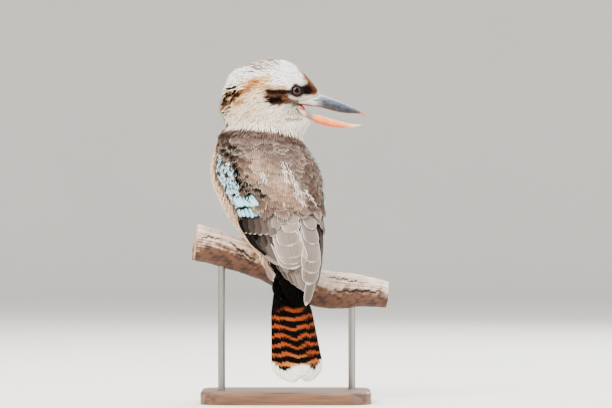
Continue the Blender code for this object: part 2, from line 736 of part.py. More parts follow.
def build_trunk(part, work):
    """Torso below the collar and the neck above it, clear of perch, tail and feet."""
    torso = trunk_loft("torso", 0.0, work)
    neck = trunk_loft("neck", 0.0, work)
    boolean(neck, [collar_plane(-1, work)], "DIFFERENCE")
    boolean(neck, [head_flesh(GAP, work)], "DIFFERENCE")
    finish(neck, "neck", part, "feather_white")
    boolean(torso, [collar_plane(1, work)], "DIFFERENCE")
    boolean(torso, [perch_loft("perch room", GAP, work)], "DIFFERENCE")
    boolean(torso, [tail_root("tail room", GAP, work)], "DIFFERENCE")
    for side in (LEFT, RIGHT):
        for piece in foot_pieces(side, GAP, work) + [claw_piece(side, 1, GAP, work)]:
            boolean(torso, [piece], "DIFFERENCE")
    finish(torso, "torso", part, "feather_cream")


def outline_point(height, angle, lift):
    """A place on the plumage's outline at an angle from straight ahead, raised by the lift."""
    return section_points(trunk_row(height), height, angle, lift)


def wing_angle(share, height):
    """The angle at a share of the way from the wing's front edge to its inner edge."""
    front, inner, _ = seat_at(np.maximum(height, WING_SEAT[0][0]))
    inner = np.minimum(inner, math.radians(WING_INNER_LIMIT))
    return front + share * (inner - front)


def wing_vane(side, share, ends, width, lift, work):
    """One feather of the wing, following the plumage, from a sunken root to its lifted tip."""
    stations = np.array(VANE_STATIONS)
    widths = np.array(VANE_WIDTHS) * width / 2
    height = ends[0] + (ends[1] - ends[0]) * stations
    place = share[0] + (share[1] - share[0]) * stations
    angle = wing_angle(place, height)
    far_side = outline_point(height, angle + math.pi, 0.0)
    reach = np.linalg.norm(outline_point(height, angle, 0.0) - far_side, axis=-1) / 2
    rise = -WING_SKIN - VANE_SUNK + (lift + VANE_SUNK) * ease(stations * VANE_SETTLE)
    grid = []
    for column in (-1.0, 0.0, 1.0):
        offset = column * widths / reach
        raised = rise - VANE_TILT * column + (VANE_CAMBER * width if column == 0 else 0.0)
        grid.append([outline_point(height, angle + offset, raised - down) for down in (0.0, VANE_THICK)])
    grid = np.array(grid)
    if side == RIGHT:
        grid = mirrored(grid)
    top, bottom = (np.moveaxis(grid[:, k], 0, 1) for k in (0, 1))
    return plate("vane", top, bottom, work)


def mirrored(points):
    """Points on the bird's left moved to its right."""
    middle = BODY_ORIGIN
    aside = ((points - middle) * LEFTWARD).sum(axis=-1, keepdims=True)
    return points - 2 * aside * LEFTWARD


def cloak(side, work):
    """One wing's side of the plumage's outline, from the wings' top to their tips."""
    angles = np.arange(CLOAK_POINTS) * 2 * math.pi / CLOAK_POINTS
    low = [row[0] for row in CLOAK_END]
    heights = low + [row[0] for row in TRUNK if low[-1] + 1 < row[0] < SEAT_TOP]
    rings = [outline_point(height, angles, -WING_SKIN) for height in heights]
    pad = loft("cloak", np.array(rings), work)
    middle = in_body(0.0, MIDLINE_GAP * side, COLLAR_HEIGHT / 2)
    return boolean(pad, [slab("other side", middle, -LEFTWARD * side, work, CUTTER_SIZE)], "DIFFERENCE")


def tail_axes():
    """The tail's root, and its directions down, to the bird's left and out of its upper side."""
    forward, leftward, height = TAIL_ROOT
    down = unit(-UP * math.cos(TAIL_LEAN) - FORWARD * math.sin(TAIL_LEAN) - LEFTWARD * TAIL_ASIDE)
    aside = unit(LEFTWARD - LEFTWARD @ down * down)
    back = np.cross(aside, down)
    if back @ FORWARD > 0:
        back = -back
    return in_body(forward, leftward, height), down, aside, back


def wing_floor(work):
    """All that lies under the folded wings below the trunk: the tail and the space before it."""
    root, down, aside, back = tail_axes()
    half = WING_FLOOR_HALF
    bpy.ops.mesh.primitive_cube_add(size=2 * half * MM)
    block = adopt(bpy.context.object, "wing floor", work)
    top = root + down * (root[2] - WING_FLOOR_TOP) / math.cos(TAIL_LEAN)
    middle = top + down * half + back * (WING_FLOOR_BACK - half)
    turn = Matrix([aside, back, -down]).transposed().to_4x4()
    block.data.transform(Matrix.Translation(Vector(middle) * MM) @ turn)
    return block


def build_wing(side, name, part, work):
    """A folded wing: a thin pad over the flank with its feathers in overlapping rows."""
    wing = cloak(side, work)
    vanes = []
    for _, roots, tips, starts, ends, count, width, lift in WING_ROWS:
        for share in np.linspace(0, 1, count):
            place = [low + share * (high - low) for low, high in (starts, ends)]
            reach = [front + share * (inner - front) for front, inner in (roots, tips)]
            vanes.append(wing_vane(side, place, reach, width, lift, work))
    boolean(wing, vanes, "UNION")
    middle = in_body(0.0, MIDLINE_GAP * side, COLLAR_HEIGHT / 2)
    boolean(wing, [slab("other side", middle, -LEFTWARD * side, work, CUTTER_SIZE)], "DIFFERENCE")
    boolean(wing, [trunk_loft("trunk room", GAP, work)], "DIFFERENCE")
    boolean(wing, [wing_floor(work)], "DIFFERENCE")
    boolean(wing, [tail_root("tail room", GAP, work)], "DIFFERENCE")
    finish(wing, f"wing_{name}", part, "feather_brown")


def tail_root(name, extra, work):
    """The tail's root and coverts, in one smooth body."""
    root, down, aside, back = tail_axes()
    turns = np.arange(TAIL_POINTS) * 2 * math.pi / TAIL_POINTS
    rings = []
    for place, (distance, half, thick) in enumerate(TAIL_CORE):
        reach = distance + (-extra if place == 0 else extra if place == len(TAIL_CORE) - 1 else 0.0)
        middle = root + down * reach - back * TAIL_CORE_FORWARD
        sideways = np.outer(np.cos(turns) * (half + extra), aside)
        rings.append(middle + sideways + np.outer(np.sin(turns) * (thick + extra), back))
    return loft(name, np.array(rings), work)


def tail_feather(place, work):
    """One tail feather, by its place from -1 at the fan's right edge to 1 at its left."""
    root, down, aside, back = tail_axes()
    level = -abs(place) * (TAIL_FEATHERS - 1) / 2 * TAIL_STEP
    turn = place * TAIL_HALF_FAN
    along = down * math.cos(turn) + aside * math.sin(turn)
    across = aside * math.cos(turn) - down * math.sin(turn)
    notch = TAIL_NOTCH * (1 - ease(abs(place) / TAIL_NOTCH_REACH))
    length = TAIL_LENGTH - TAIL_OUTER_SHORTER * place ** 2 - notch
    start = root + aside * place * TAIL_ROOT_HALF + back * level
    stations = np.array(TAIL_STATIONS)
    widths = np.array(TAIL_WIDTHS) * TAIL_FEATHER_WIDTH / 2
    line = start + np.outer(stations * length, along)
    columns = np.array([-1.0, 0.0, 1.0])
    crown = np.array([0.0, TAIL_CAMBER, 0.0])
    top = line[:, None] + widths[:, None, None] * columns[:, None] * across + crown[:, None] * back
    return plate("tail vane", top, top - back * TAIL_THICK, work)


def build_tail(part, work):
    """The closed tail: twelve feathers stepped back from the middle pair, and their coverts."""
    tail = tail_root("tail", 0.0, work)
    places = np.linspace(-1, 1, TAIL_FEATHERS)
    boolean(tail, [tail_feather(place, work) for place in places], "UNION")
    finish(tail, "tail", part, "feather_barred")


def perch_frame(x):
    """The perch's middle line at x: its place, and its directions along, up and away from the bird."""
    def middle(at):
        y, height, _ = smooth_rows(PERCH, at)
        return np.array([at, y, height])

    along = unit(middle(x + 1.0) - middle(x - 1.0))
    across = unit(np.cross(UP, along))
    return middle(x), along, np.cross(along, across), across


def perch_radius(x, turn):
    """The uneven branch's radius at x, at an angle from its top towards the far side."""
    radius = smooth_rows(PERCH, x)[2]
    wave = sum(share * np.sin(count * turn + twist * x + start) for count, twist, start, share in PERCH_WAVES)
    return radius * (1 + PERCH_UNEVEN * wave)


def on_perch(x, turn, lift):
    """A place over the perch's surface."""
    middle, _, up, across = perch_frame(x)
    return middle + (perch_radius(x, turn) + lift) * (math.cos(turn) * up + math.sin(turn) * across)


def perch_loft(name, extra, work):
    """The cut length of branch."""
    start, end = PERCH[0][0] - extra, PERCH[-1][0] + extra
    turns = np.arange(PERCH_SIDES) * 2 * math.pi / PERCH_SIDES
    rings = [[on_perch(x, turn, extra) for turn in turns] for x in np.linspace(start, end, PERCH_SLICES)]
    return loft(name, np.array(rings), work)


def toe_path(side, number, lift, start, end, steps):
    """Places along one toe, from one distance to another out from the foot's middle."""
    turn, _, _ = TOES[number]
    heading = math.radians(side * turn - FOOT_TURN)
    places = []
    for share, height in zip(np.linspace(0, 1, steps), np.broadcast_to(lift, steps)):
        distance = start + share * (end - start)
        x = FOOT_X[side] + distance * math.sin(heading)
        round_perch = distance * math.cos(heading) / (perch_radius(x, 0.0) + TOE_RADIUS)
        places.append(on_perch(x, FOOT_FORWARD + round_perch, height))
    return np.array(places)


def foot_pieces(side, extra, work):
    """The pad and the four toes of one foot, as separate bodies."""
    middle = on_perch(FOOT_X[side], FOOT_FORWARD, GAP + FOOT_PAD)
    pieces = [ball("pad", middle, [FOOT_PAD + extra] * 3, work, *PAD_SIDES)]
    for number, (_, length, factor) in TOES.items():
        radii = TOE_RADIUS * factor * np.array(TOE_TAPER)
        path = toe_path(side, number, GAP + radii, 0.0, length + extra, len(radii))
        pieces.append(tube(f"toe {number}", path, radii + extra, work, TOE_SIDES))
    return pieces


def claw_piece(side, number, extra, work):
    """One claw, from its toe's end down the perch's side."""
    _, length, factor = TOES[number]
    radii = CLAW_RADIUS * factor * np.array(CLAW_TAPER)
    lift = GAP + radii + np.array(CLAW_ARCH)
    start = length + 2 * GAP
    path = toe_path(side, number, lift, start - extra, start + CLAW_LENGTH + extra, len(radii))
    return tube("claw", path, radii + extra, work, CLAW_SIDES)


def build_feet(part, work):
    """Both feet on the perch, their claws, and the short legs that go up into the belly."""
    for side, name in ((LEFT, "left"), (RIGHT, "right")):
        pieces = foot_pieces(side, 0.0, work)
        foot = pieces[0]
        boolean(foot, pieces[1:], "UNION")
        finish(foot, f"foot_{name}", part, "skin")
        for number in TOES:
            finish(claw_piece(side, number, 0.0, work), f"claw_{name}_{number}", part, "claw")
        low = on_perch(FOOT_X[side], FOOT_FORWARD, GAP + 2 * FOOT_PAD - LEG_SUNK)
        steps = np.linspace(0, LEG_LENGTH, LEG_STATIONS)
        lean = unit(UP - LEG_LEAN * FORWARD)
        leg = tube("leg", low + np.outer(steps, lean), [LEG_RADIUS] * LEG_STATIONS, work, LEG_SIDES)
        for piece in foot_pieces(side, GAP, work):
            boolean(leg, [piece], "DIFFERENCE")
        boolean(leg, [trunk_loft("trunk room", GAP, work)], "DIFFERENCE")
        finish(leg, f"leg_{name}", part, "skin")


def rod_ends(name):
    """The low and high ends of one of the stand's rods."""
    x = ROD_X[name]
    y, height, radius = smooth_rows(PERCH, x)
    low = BASE_SIZE[2] - ROD_DEPTH_IN_BASE
    return np.array([x, y, low]), np.array([x, y, height - radius + ROD_DEPTH_IN_PERCH])


def rod_room(name, work):
    """The room for a rod in what it goes into."""
    low, high = rod_ends(name)
    return rod("rod room", low - UP * GAP, high + UP * GAP, ROD_RADIUS + GAP, work)


def build_stand(part, work):
    """Flat base, two rods and the perch that they hold."""
    wide, deep, thick = BASE_SIZE
    bpy.ops.mesh.primitive_cube_add(size=MM, location=(0, 0, 0))
    base = adopt(bpy.context.object, "base", work)
    lifted = Matrix.Translation((0, 0, thick / 2 * MM))
    base.data.transform(lifted @ Matrix.Diagonal((wide, deep, thick, 1)))
    form = bmesh.new()
    form.from_mesh(base.data)
    upright = [edge for edge in form.edges if abs(edge.verts[0].co.z - edge.verts[1].co.z) > MM]
    round_to = {"profile": 0.5, "affect": "EDGES"}
    bmesh.ops.bevel(form, geom=upright, offset=BASE_CORNER * MM, segments=BASE_CORNER_STEPS, **round_to)
    rim = [edge for edge in form.edges if min(vert.co.z for vert in edge.verts) > (thick - 1) * MM]
    bmesh.ops.bevel(form, geom=rim, offset=BASE_EDGE * MM, segments=1, **round_to)
    form.to_mesh(base.data)
    form.free()
    perch = perch_loft("perch", 0.0, work)
    for name in ROD_X:
        boolean(base, [rod_room(name, work)], "DIFFERENCE")
        boolean(perch, [rod_room(name, work)], "DIFFERENCE")
        low, high = rod_ends(name)
        finish(rod("rod", low, high, ROD_RADIUS, work), f"stand_rod_{name}", part, "stand_metal")
    finish(base, "stand_base", part, "stand_wood")
    finish(perch, "perch", part, "perch_wood")


def finish(thing, name, part, finish_name):
    """Names a finished sub-part, gives it its material and puts it with the others."""
    adopt(thing, name, part)
    thing.data.name = name
    thing.hide_render = False
    thing.data.materials.clear()
    thing.data.materials.append(bpy.data.materials[finish_name])
    thing.data.shade_smooth()
    thing.data.set_sharp_from_angle(angle=SHARP_FROM)


def make_materials():
    """One plain material for each kind of surface."""
    material("feather_white", (0.72, 0.64, 0.52), 0.85)
    material("feather_cream", (0.62, 0.53, 0.42), 0.85)
    material("feather_brown", (0.13, 0.10, 0.08), 0.8)
    material("feather_barred", (0.30, 0.13, 0.06), 0.8)
    material("bill_dark", (0.05, 0.05, 0.06), 0.35)
    material("bill_pale", (0.62, 0.36, 0.22), 0.4)
    material("eye", (0.05, 0.03, 0.02), 0.08)
    material("claw", (0.04, 0.035, 0.03), 0.4)
    material("skin", (0.25, 0.24, 0.19), 0.6)
    material("perch_wood", (0.42, 0.33, 0.25), 0.85)
    material("stand_wood", (0.20, 0.12, 0.07), 0.5)
    material("stand_metal", (0.30, 0.28, 0.25), 0.35, 1.0)


def main():
    """Builds the bird, its perch and its stand."""
    clear_scene()
    part = collection("kookaburra")
    work = collection("work", hidden=True)
    make_materials()
    build_stand(part, work)
    build_trunk(part, work)
    build_head(part, work)
    build_bill(part, work)
    build_eyes(part, work)
    for side, name in ((LEFT, "left"), (RIGHT, "right")):
        build_wing(side, name, part, work)
    build_tail(part, work)
    build_feet(part, work)


if __name__ == "__main__":
    main()
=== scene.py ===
"""Museum display model of a laughing kookaburra: feathers, bill, eyes, feet, perch and stand.

Lengths are millimetres, and become metres where a mesh is filled. The bird is seen from behind along +Y, with
its head turned towards +X. Its body faces the way that BodyShape.heading gives.
"""

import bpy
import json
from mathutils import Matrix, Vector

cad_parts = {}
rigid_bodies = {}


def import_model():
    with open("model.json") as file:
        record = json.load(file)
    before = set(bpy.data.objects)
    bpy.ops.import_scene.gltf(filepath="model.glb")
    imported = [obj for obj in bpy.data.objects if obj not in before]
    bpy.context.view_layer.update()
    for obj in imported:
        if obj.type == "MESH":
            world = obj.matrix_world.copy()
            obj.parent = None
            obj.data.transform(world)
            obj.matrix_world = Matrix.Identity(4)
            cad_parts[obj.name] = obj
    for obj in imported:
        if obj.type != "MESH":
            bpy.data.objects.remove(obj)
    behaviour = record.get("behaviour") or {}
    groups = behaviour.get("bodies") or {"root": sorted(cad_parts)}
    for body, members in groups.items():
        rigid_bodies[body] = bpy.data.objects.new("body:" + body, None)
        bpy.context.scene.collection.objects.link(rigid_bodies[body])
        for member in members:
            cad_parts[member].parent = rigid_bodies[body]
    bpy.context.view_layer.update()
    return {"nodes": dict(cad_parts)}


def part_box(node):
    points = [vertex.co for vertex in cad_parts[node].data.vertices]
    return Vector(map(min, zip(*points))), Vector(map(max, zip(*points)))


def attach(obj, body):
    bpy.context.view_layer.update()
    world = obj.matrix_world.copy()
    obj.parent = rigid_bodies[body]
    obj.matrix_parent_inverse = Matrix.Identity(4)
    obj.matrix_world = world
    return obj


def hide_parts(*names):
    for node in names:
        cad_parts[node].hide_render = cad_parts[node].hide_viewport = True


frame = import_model()

import json
import logging
import math
from collections.abc import Callable
from dataclasses import dataclass, field
from enum import Enum

import bmesh
import bpy
import numpy as np
from mathutils import Matrix, Vector
from mathutils.bvhtree import BVHTree

LOG = logging.getLogger("kookaburra")
MM = 0.001
DEPTH = 1.35  # power that deepens painted tones, so that dark feathers stay dark under soft light
BODY = "root"
PATCH = 0.003  # width of one tuft's patch on the OFBake map
HEAD_MIDDLE = 9.0  # y of the head's middle plane
EYE = (11.5, 348.4)  # x and height of the eyes' middles
FULL_TURN = 2 * math.pi
ANY = math.inf  # no limit

Array = np.ndarray
Thing = bpy.types.Object
Socket = bpy.types.NodeSocket
Zone = dict[str, tuple[float, float]]  # limits of measures over the bird, by the measures' names
Placing = Callable[[Array, Array], Array]  # gives places from two numbers for each


class Side(Enum):
    """The bird's own left or right."""

    LEFT = 1
    RIGHT = -1

    @property
    def word(self) -> str:
        """The side's name as the nodes have it."""
        return self.name.lower()


def linear(colour: str) -> Array:
    """Turn an sRGB hex colour to linear red, green and blue.

    Args:
        colour: six hex digits after a hash sign.

    Returns:
        Three linear values from 0 to 1.
    """
    parts = [int(colour[k : k + 2], 16) / 255 for k in (1, 3, 5)]
    return np.array([v / 12.92 if v <= 0.04045 else ((v + 0.055) / 1.055) ** 2.4 for v in parts])


def mix(colours: Array, other: Array | str, amount: Array | float) -> Array:
    """Mix another colour into colours by an amount at each place.

    Args:
        colours: linear colours.
        other: linear colours or one hex colour.
        amount: shares of the other colour, held between 0 and 1.

    Returns:
        The mixed colours.
    """
    amount = np.clip(amount, 0, 1)[..., None]
    other = linear(other) if isinstance(other, str) else other
    return colours * (1 - amount) + other * amount


def layered(colours: Array, *layers: tuple) -> Array:
    """Mix further colours into colours, one over the other.

    Args:
        colours: linear colours.
        layers: pairs of a colour and its amount, as mix takes them.

    Returns:
        The mixed colours.
    """
    for other, amount in layers:
        colours = mix(colours, other, amount)
    return colours


def varied(draw: np.random.Generator, share: float, size: int | tuple, limit: float = ANY) -> Array:
    """Random factors around 1 that differ by about a share, and at most by limit times that."""
    return 1 + share * draw.normal(size=size).clip(-limit, limit)

def blend(value: Array, steps: tuple) -> Array:
    """Read colours from a scale.

    Args:
        value: where to read, one number for each place.
        steps: pairs of a number and the colour there.

    Returns:
        Linear colours.
    """
    at = [step[0] for step in steps]
    table = np.array([linear(step[1]) for step in steps])
    return np.stack([np.interp(value, at, table[:, k]) for k in range(3)], axis=-1)


def unit(vectors: Array) -> Array:
    """Scale each vector to length 1."""
    return vectors / np.maximum(np.linalg.norm(vectors, axis=-1, keepdims=True), 1e-9)


def ease(value: Array | float) -> Array | float:
    """Rise smoothly from 0 at 0 to 1 at 1, and stay there."""
    t = np.clip(value, 0.0, 1.0)
    return t * t * (3 - 2 * t)


def smooth_rows(stations: tuple, keys: Array) -> Array:
    """Read rows from a smooth curve through stations.

    Args:
        stations: rows whose first value rises.
        keys: where to read, in the first value's unit.

    Returns:
        The rows' other values at each key.
    """
    rows = np.array(stations, float)
    knots, values = rows[:, 0], rows[:, 1:]
    keys = np.clip(np.asarray(keys, float), knots[0], knots[-1])
    slopes = np.gradient(values, knots, axis=0)
    place = np.clip(np.searchsorted(knots, keys) - 1, 0, len(knots) - 2)
    span = (knots[place + 1] - knots[place])[..., None]
    t = (keys - knots[place])[..., None] / span
    start, end = values[place], values[place + 1]
    level = (1 + 2 * t) * (1 - t) ** 2 * start + t * t * (3 - 2 * t) * end
    return level + t * (1 - t) * span * ((1 - t) * slopes[place] - t * slopes[place + 1])


def ripple(places: Array, sizes: tuple, seed: int) -> Array:
    """A smooth uneven number around 0 for each place.

    Args:
        places: the places.
        sizes: wavelengths, coarse to fine.
        seed: fixes the pattern.

    Returns:
        Values from about -1 to 1.
    """
    draw = np.random.default_rng(seed)
    total = 0.0
    for size in sizes:
        for _ in range(4):
            heading = unit(draw.normal(size=3)) * (FULL_TURN / size)
            total = total + np.sin(places @ heading + draw.uniform(0, 6.3))
    return total / (2.2 * math.sqrt(len(sizes)) * 1.4)


def select_only(things: list[Thing]) -> None:
    """Select these objects alone, and make the first of them active.

    Args:
        things: the objects.
    """
    for thing in bpy.context.view_layer.objects.selected[:]:
        thing.select_set(False)
    for thing in things:
        thing.select_set(True)
    if things:
        bpy.context.view_layer.objects.active = things[0]


def apply_modifier(thing: Thing, kind: str, **settings: float | str) -> None:
    """Add a modifier to an object and apply it.

    Args:
        thing: the object to change.
        kind: the modifier's type.
        settings: its values by property name.
    """
    select_only([thing])
    modifier = thing.modifiers.new(kind.lower(), kind)
    for key, value in settings.items():
        setattr(modifier, key, value)
    bpy.ops.object.modifier_apply(modifier=modifier.name)


def shade_smooth(thing: Thing) -> None:
    """Shade all faces of an object smooth."""
    for polygon in thing.data.polygons:
        polygon.use_smooth = True


def settle(thing: Thing) -> Thing:
    """Move an object's place and scale into its mesh, with its faces turned outwards.

    Args:
        thing: the object.

    Returns:
        The object, at the origin.
    """
    thing.data.transform(thing.matrix_world)
    thing.matrix_world = Matrix.Identity(4)
    form = bmesh.new()
    form.from_mesh(thing.data)
    bmesh.ops.remove_doubles(form, verts=form.verts, dist=1e-6)
    bmesh.ops.recalc_face_normals(form, faces=form.faces)
    form.to_mesh(thing.data)
    form.free()
    return thing


def copy_of(nodes: list[str], name: str) -> Thing:
    """Copy CAD nodes into one new object with welded faces.

    Args:
        nodes: the nodes' names.
        name: the new object's name.

    Returns:
        The new object, at the origin.
    """
    form = bmesh.new()
    for node in nodes:
        form.from_mesh(frame["nodes"][node].data)
    bmesh.ops.remove_doubles(form, verts=form.verts, dist=1e-6)
    mesh = bpy.data.meshes.new(name)
    form.to_mesh(mesh)
    form.free()
    thing = bpy.data.objects.new(name, mesh)
    bpy.context.scene.collection.objects.link(thing)
    return thing


def keep_largest(thing: Thing) -> None:
    """Drop every loose shell of a mesh but the one with the most vertices.

    Args:
        thing: the object to change.
    """
    form = bmesh.new()
    form.from_mesh(thing.data)
    seen, shells = set(), []
    for start in form.verts:
        if start in seen:
            continue
        shell, waiting = {start}, [start]
        while waiting:
            for edge in waiting.pop().link_edges:
                new = set(edge.verts) - shell
                shell |= new
                waiting.extend(new)
        seen |= shell
        shells.append(shell)
    for shell in sorted(shells, key=len)[:-1]:
        bmesh.ops.delete(form, geom=list(shell), context="VERTS")
    form.to_mesh(thing.data)
    form.free()


def read_mesh(items: bpy.types.bpy_prop_collection, name: str, width: int = 1, kind: type = float) -> Array:
    """Read one property of all of a mesh's elements.

    Args:
        items: the elements.
        name: the property.
        width: how many numbers each element has.
        kind: the numbers' type.

    Returns:
        The numbers, a row for each element where there are several.
    """
    values = np.empty(len(items) * width, kind)
    items.foreach_get(name, values)
    return values.reshape(-1, width) if width > 1 else values


def vertex_places(thing: Thing) -> Array:
    """The places of an object's vertices in millimetres."""
    return read_mesh(thing.data.vertices, "co", 3) / MM


def move_vertices(thing: Thing, places: Array) -> None:
    """Put an object's vertices at places in millimetres."""
    thing.data.vertices.foreach_set("co", (places * MM).ravel())
    thing.data.update()


def paint(thing: Thing, colours: Array) -> None:
    """Keep a deepened colour for each vertex in the attribute that the finishes read.

    Args:
        thing: the painted object.
        colours: linear red, green and blue, for each vertex or for all.
    """
    deep = np.ones((len(thing.data.vertices), 4))
    deep[:, :3] = np.clip(colours, 0, 1) ** DEPTH
    attribute = thing.data.color_attributes.new("tint", "FLOAT_COLOR", "POINT")
    attribute.data.foreach_set("color", deep.astype(np.float32).ravel())


def finish_piece(thing: Thing, material: bpy.types.Material, replaces: tuple = ()) -> Thing:
    """Dress a piece, tie it to the body and hide the nodes that it replaces.

    Args:
        thing: the finished piece.
        material: its finish.
        replaces: the CAD nodes that it replaces.

    Returns:
        The piece.
    """
    thing.data.materials.clear()
    thing.data.materials.append(material)
    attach(thing, BODY)
    if replaces:
        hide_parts(*replaces)
    LOG.info("%s: %d faces", thing.name, len(thing.data.polygons))
    return thing


def shaped_ball(name: str, segments: int, rings: int, place: Placing) -> Thing:
    """Add a ball and move its rings to a smooth closed form.

    Args:
        name: the new object's name.
        segments: faces round each ring.
        rings: rings from pole to pole.
        place: gives places from shares from pole to pole and turns in radians.

    Returns:
        The new object, at the origin.
    """
    select_only([])
    bpy.ops.mesh.primitive_uv_sphere_add(segments=segments, ring_count=rings, radius=1)
    thing = bpy.context.object
    thing.name = name
    ball = vertex_places(thing) * MM
    share = np.arccos(np.clip(ball[:, 2], -1, 1)) / math.pi
    share = np.round(share * rings) / rings
    turn = np.arctan2(ball[:, 1], ball[:, 0])
    move_vertices(thing, place(share, turn))
    shade_smooth(thing)
    return settle(thing)


def add_node(
    tree: bpy.types.NodeTree, kind: str, settings: dict | None = None, links: dict | None = None
) -> bpy.types.Node:
    """Add a shader node with its settings and what feeds it.

    Args:
        tree: the material's node tree.
        kind: the node's type name, without the ShaderNode at its start.
        settings: values by property name, or by input name or number.
        links: output sockets by input name or number.

    Returns:
        The new node.
    """
    node = tree.nodes.new("ShaderNode" + kind)
    for key, value in (settings or {}).items():
        if isinstance(key, str) and hasattr(node, key):
            setattr(node, key, value)
        else:
            node.inputs[key].default_value = value
    for key, socket in (links or {}).items():
        tree.links.new(socket, node.inputs[key])
    return node


class NodeBoard:
    """A Principled material under way. Its methods add what they name and give the socket that comes out."""

    def __init__(self, name: str) -> None:
        """Start a material.

        Args:
            name: its name.
        """
        self.made = bpy.data.materials.new(name)
        self.made.use_nodes = True
        self.tree = self.made.node_tree
        self.shader = self.tree.nodes["Principled BSDF"]

    def node(self, kind: str, settings: dict | None = None, links: dict | None = None) -> bpy.types.Node:
        """Add a node as add_node does, and give it."""
        return add_node(self.tree, kind, settings, links)

    def tint(self) -> Socket:
        """The painted colour of each place."""
        return self.node("Attribute", {"attribute_name": "tint"}).outputs["Color"]

    def place(self) -> Socket:
        """The piece's own places in metres."""
        return self.node("TexCoord").outputs["Object"]

    def map(self, name: str) -> Socket:
        """One of the piece's own flat maps."""
        return self.node("UVMap", {"uv_map": name}).outputs["UV"]

    def stretched(self, at: Socket, scale: tuple) -> Socket:
        """Places with each direction scaled."""
        return self.node("Mapping", {"Scale": scale}, {"Vector": at}).outputs["Vector"]

    def noise(self, at: Socket, scale: float, detail: float, **more: float) -> Socket:
        """Soft noise from 0 to 1."""
        settings = {"Scale": scale, "Detail": detail, **more}
        return self.node("TexNoise", settings, {"Vector": at}).outputs["Fac"]

    def ranged(self, value: Socket, low: float, high: float, least: float, most: float) -> Socket:
        """A value between two limits turned to one between two others."""
        limits = {"From Min": low, "From Max": high, "To Min": least, "To Max": most}
        return self.node("MapRange", limits, {"Value": value}).outputs["Result"]

    def maths(self, operation: str, first: Socket, second: Socket | float = 0.0) -> Socket:
        """Put two values, or a value and a number, through a Math node.

        Args:
            operation: what the node does.
            first: gives the first value.
            second: gives the second value, or is the number.

        Returns:
            What gives the result.
        """
        fixed, links = {"operation": operation}, {0: first}
        (links if isinstance(second, Socket) else fixed)[1] = second
        return self.node("Math", fixed, links).outputs["Value"]

    def scaled(self, colour: Socket, tone: Socket) -> Socket:
        """A colour made lighter or darker by a tone."""
        return self.node("VectorMath", {"operation": "SCALE"}, {0: colour, "Scale": tone}).outputs["Vector"]

    def finish(self, colour: Socket | None, even: dict, bump: tuple | None = None) -> None:
        """Connect the shader and set its values.

        Args:
            colour: what gives the base colour, if it isn't even.
            even: the shader's other inputs by name, as values or as sockets that give them.
            bump: the height, its strength and its depth in metres.
        """
        inputs = self.shader.inputs
        if colour is not None:
            self.tree.links.new(colour, inputs["Base Color"])
        if bump:
            height, strength, depth = bump
            raised = self.node("Bump", {"Strength": strength, "Distance": depth}, {"Height": height})
            self.tree.links.new(raised.outputs["Normal"], inputs["Normal"])
        for name, value in even.items():
            if isinstance(value, Socket):
                self.tree.links.new(value, inputs[name])
            else:
                inputs[name].default_value = value


class Finish:
    """Base of the finishes: each makes one named material once."""

    name = "plain"

    def build(self) -> bpy.types.Material:
        """Find the material, or make it where it is still missing.

        Returns:
            The material.
        """
        made = bpy.data.materials.get(self.name)
        if made is None:
            board = NodeBoard(self.name)
            self.make(board)
            made = board.made
        return made

    def make(self, board: NodeBoard) -> None:
        """Add the finish's own nodes to its new board."""


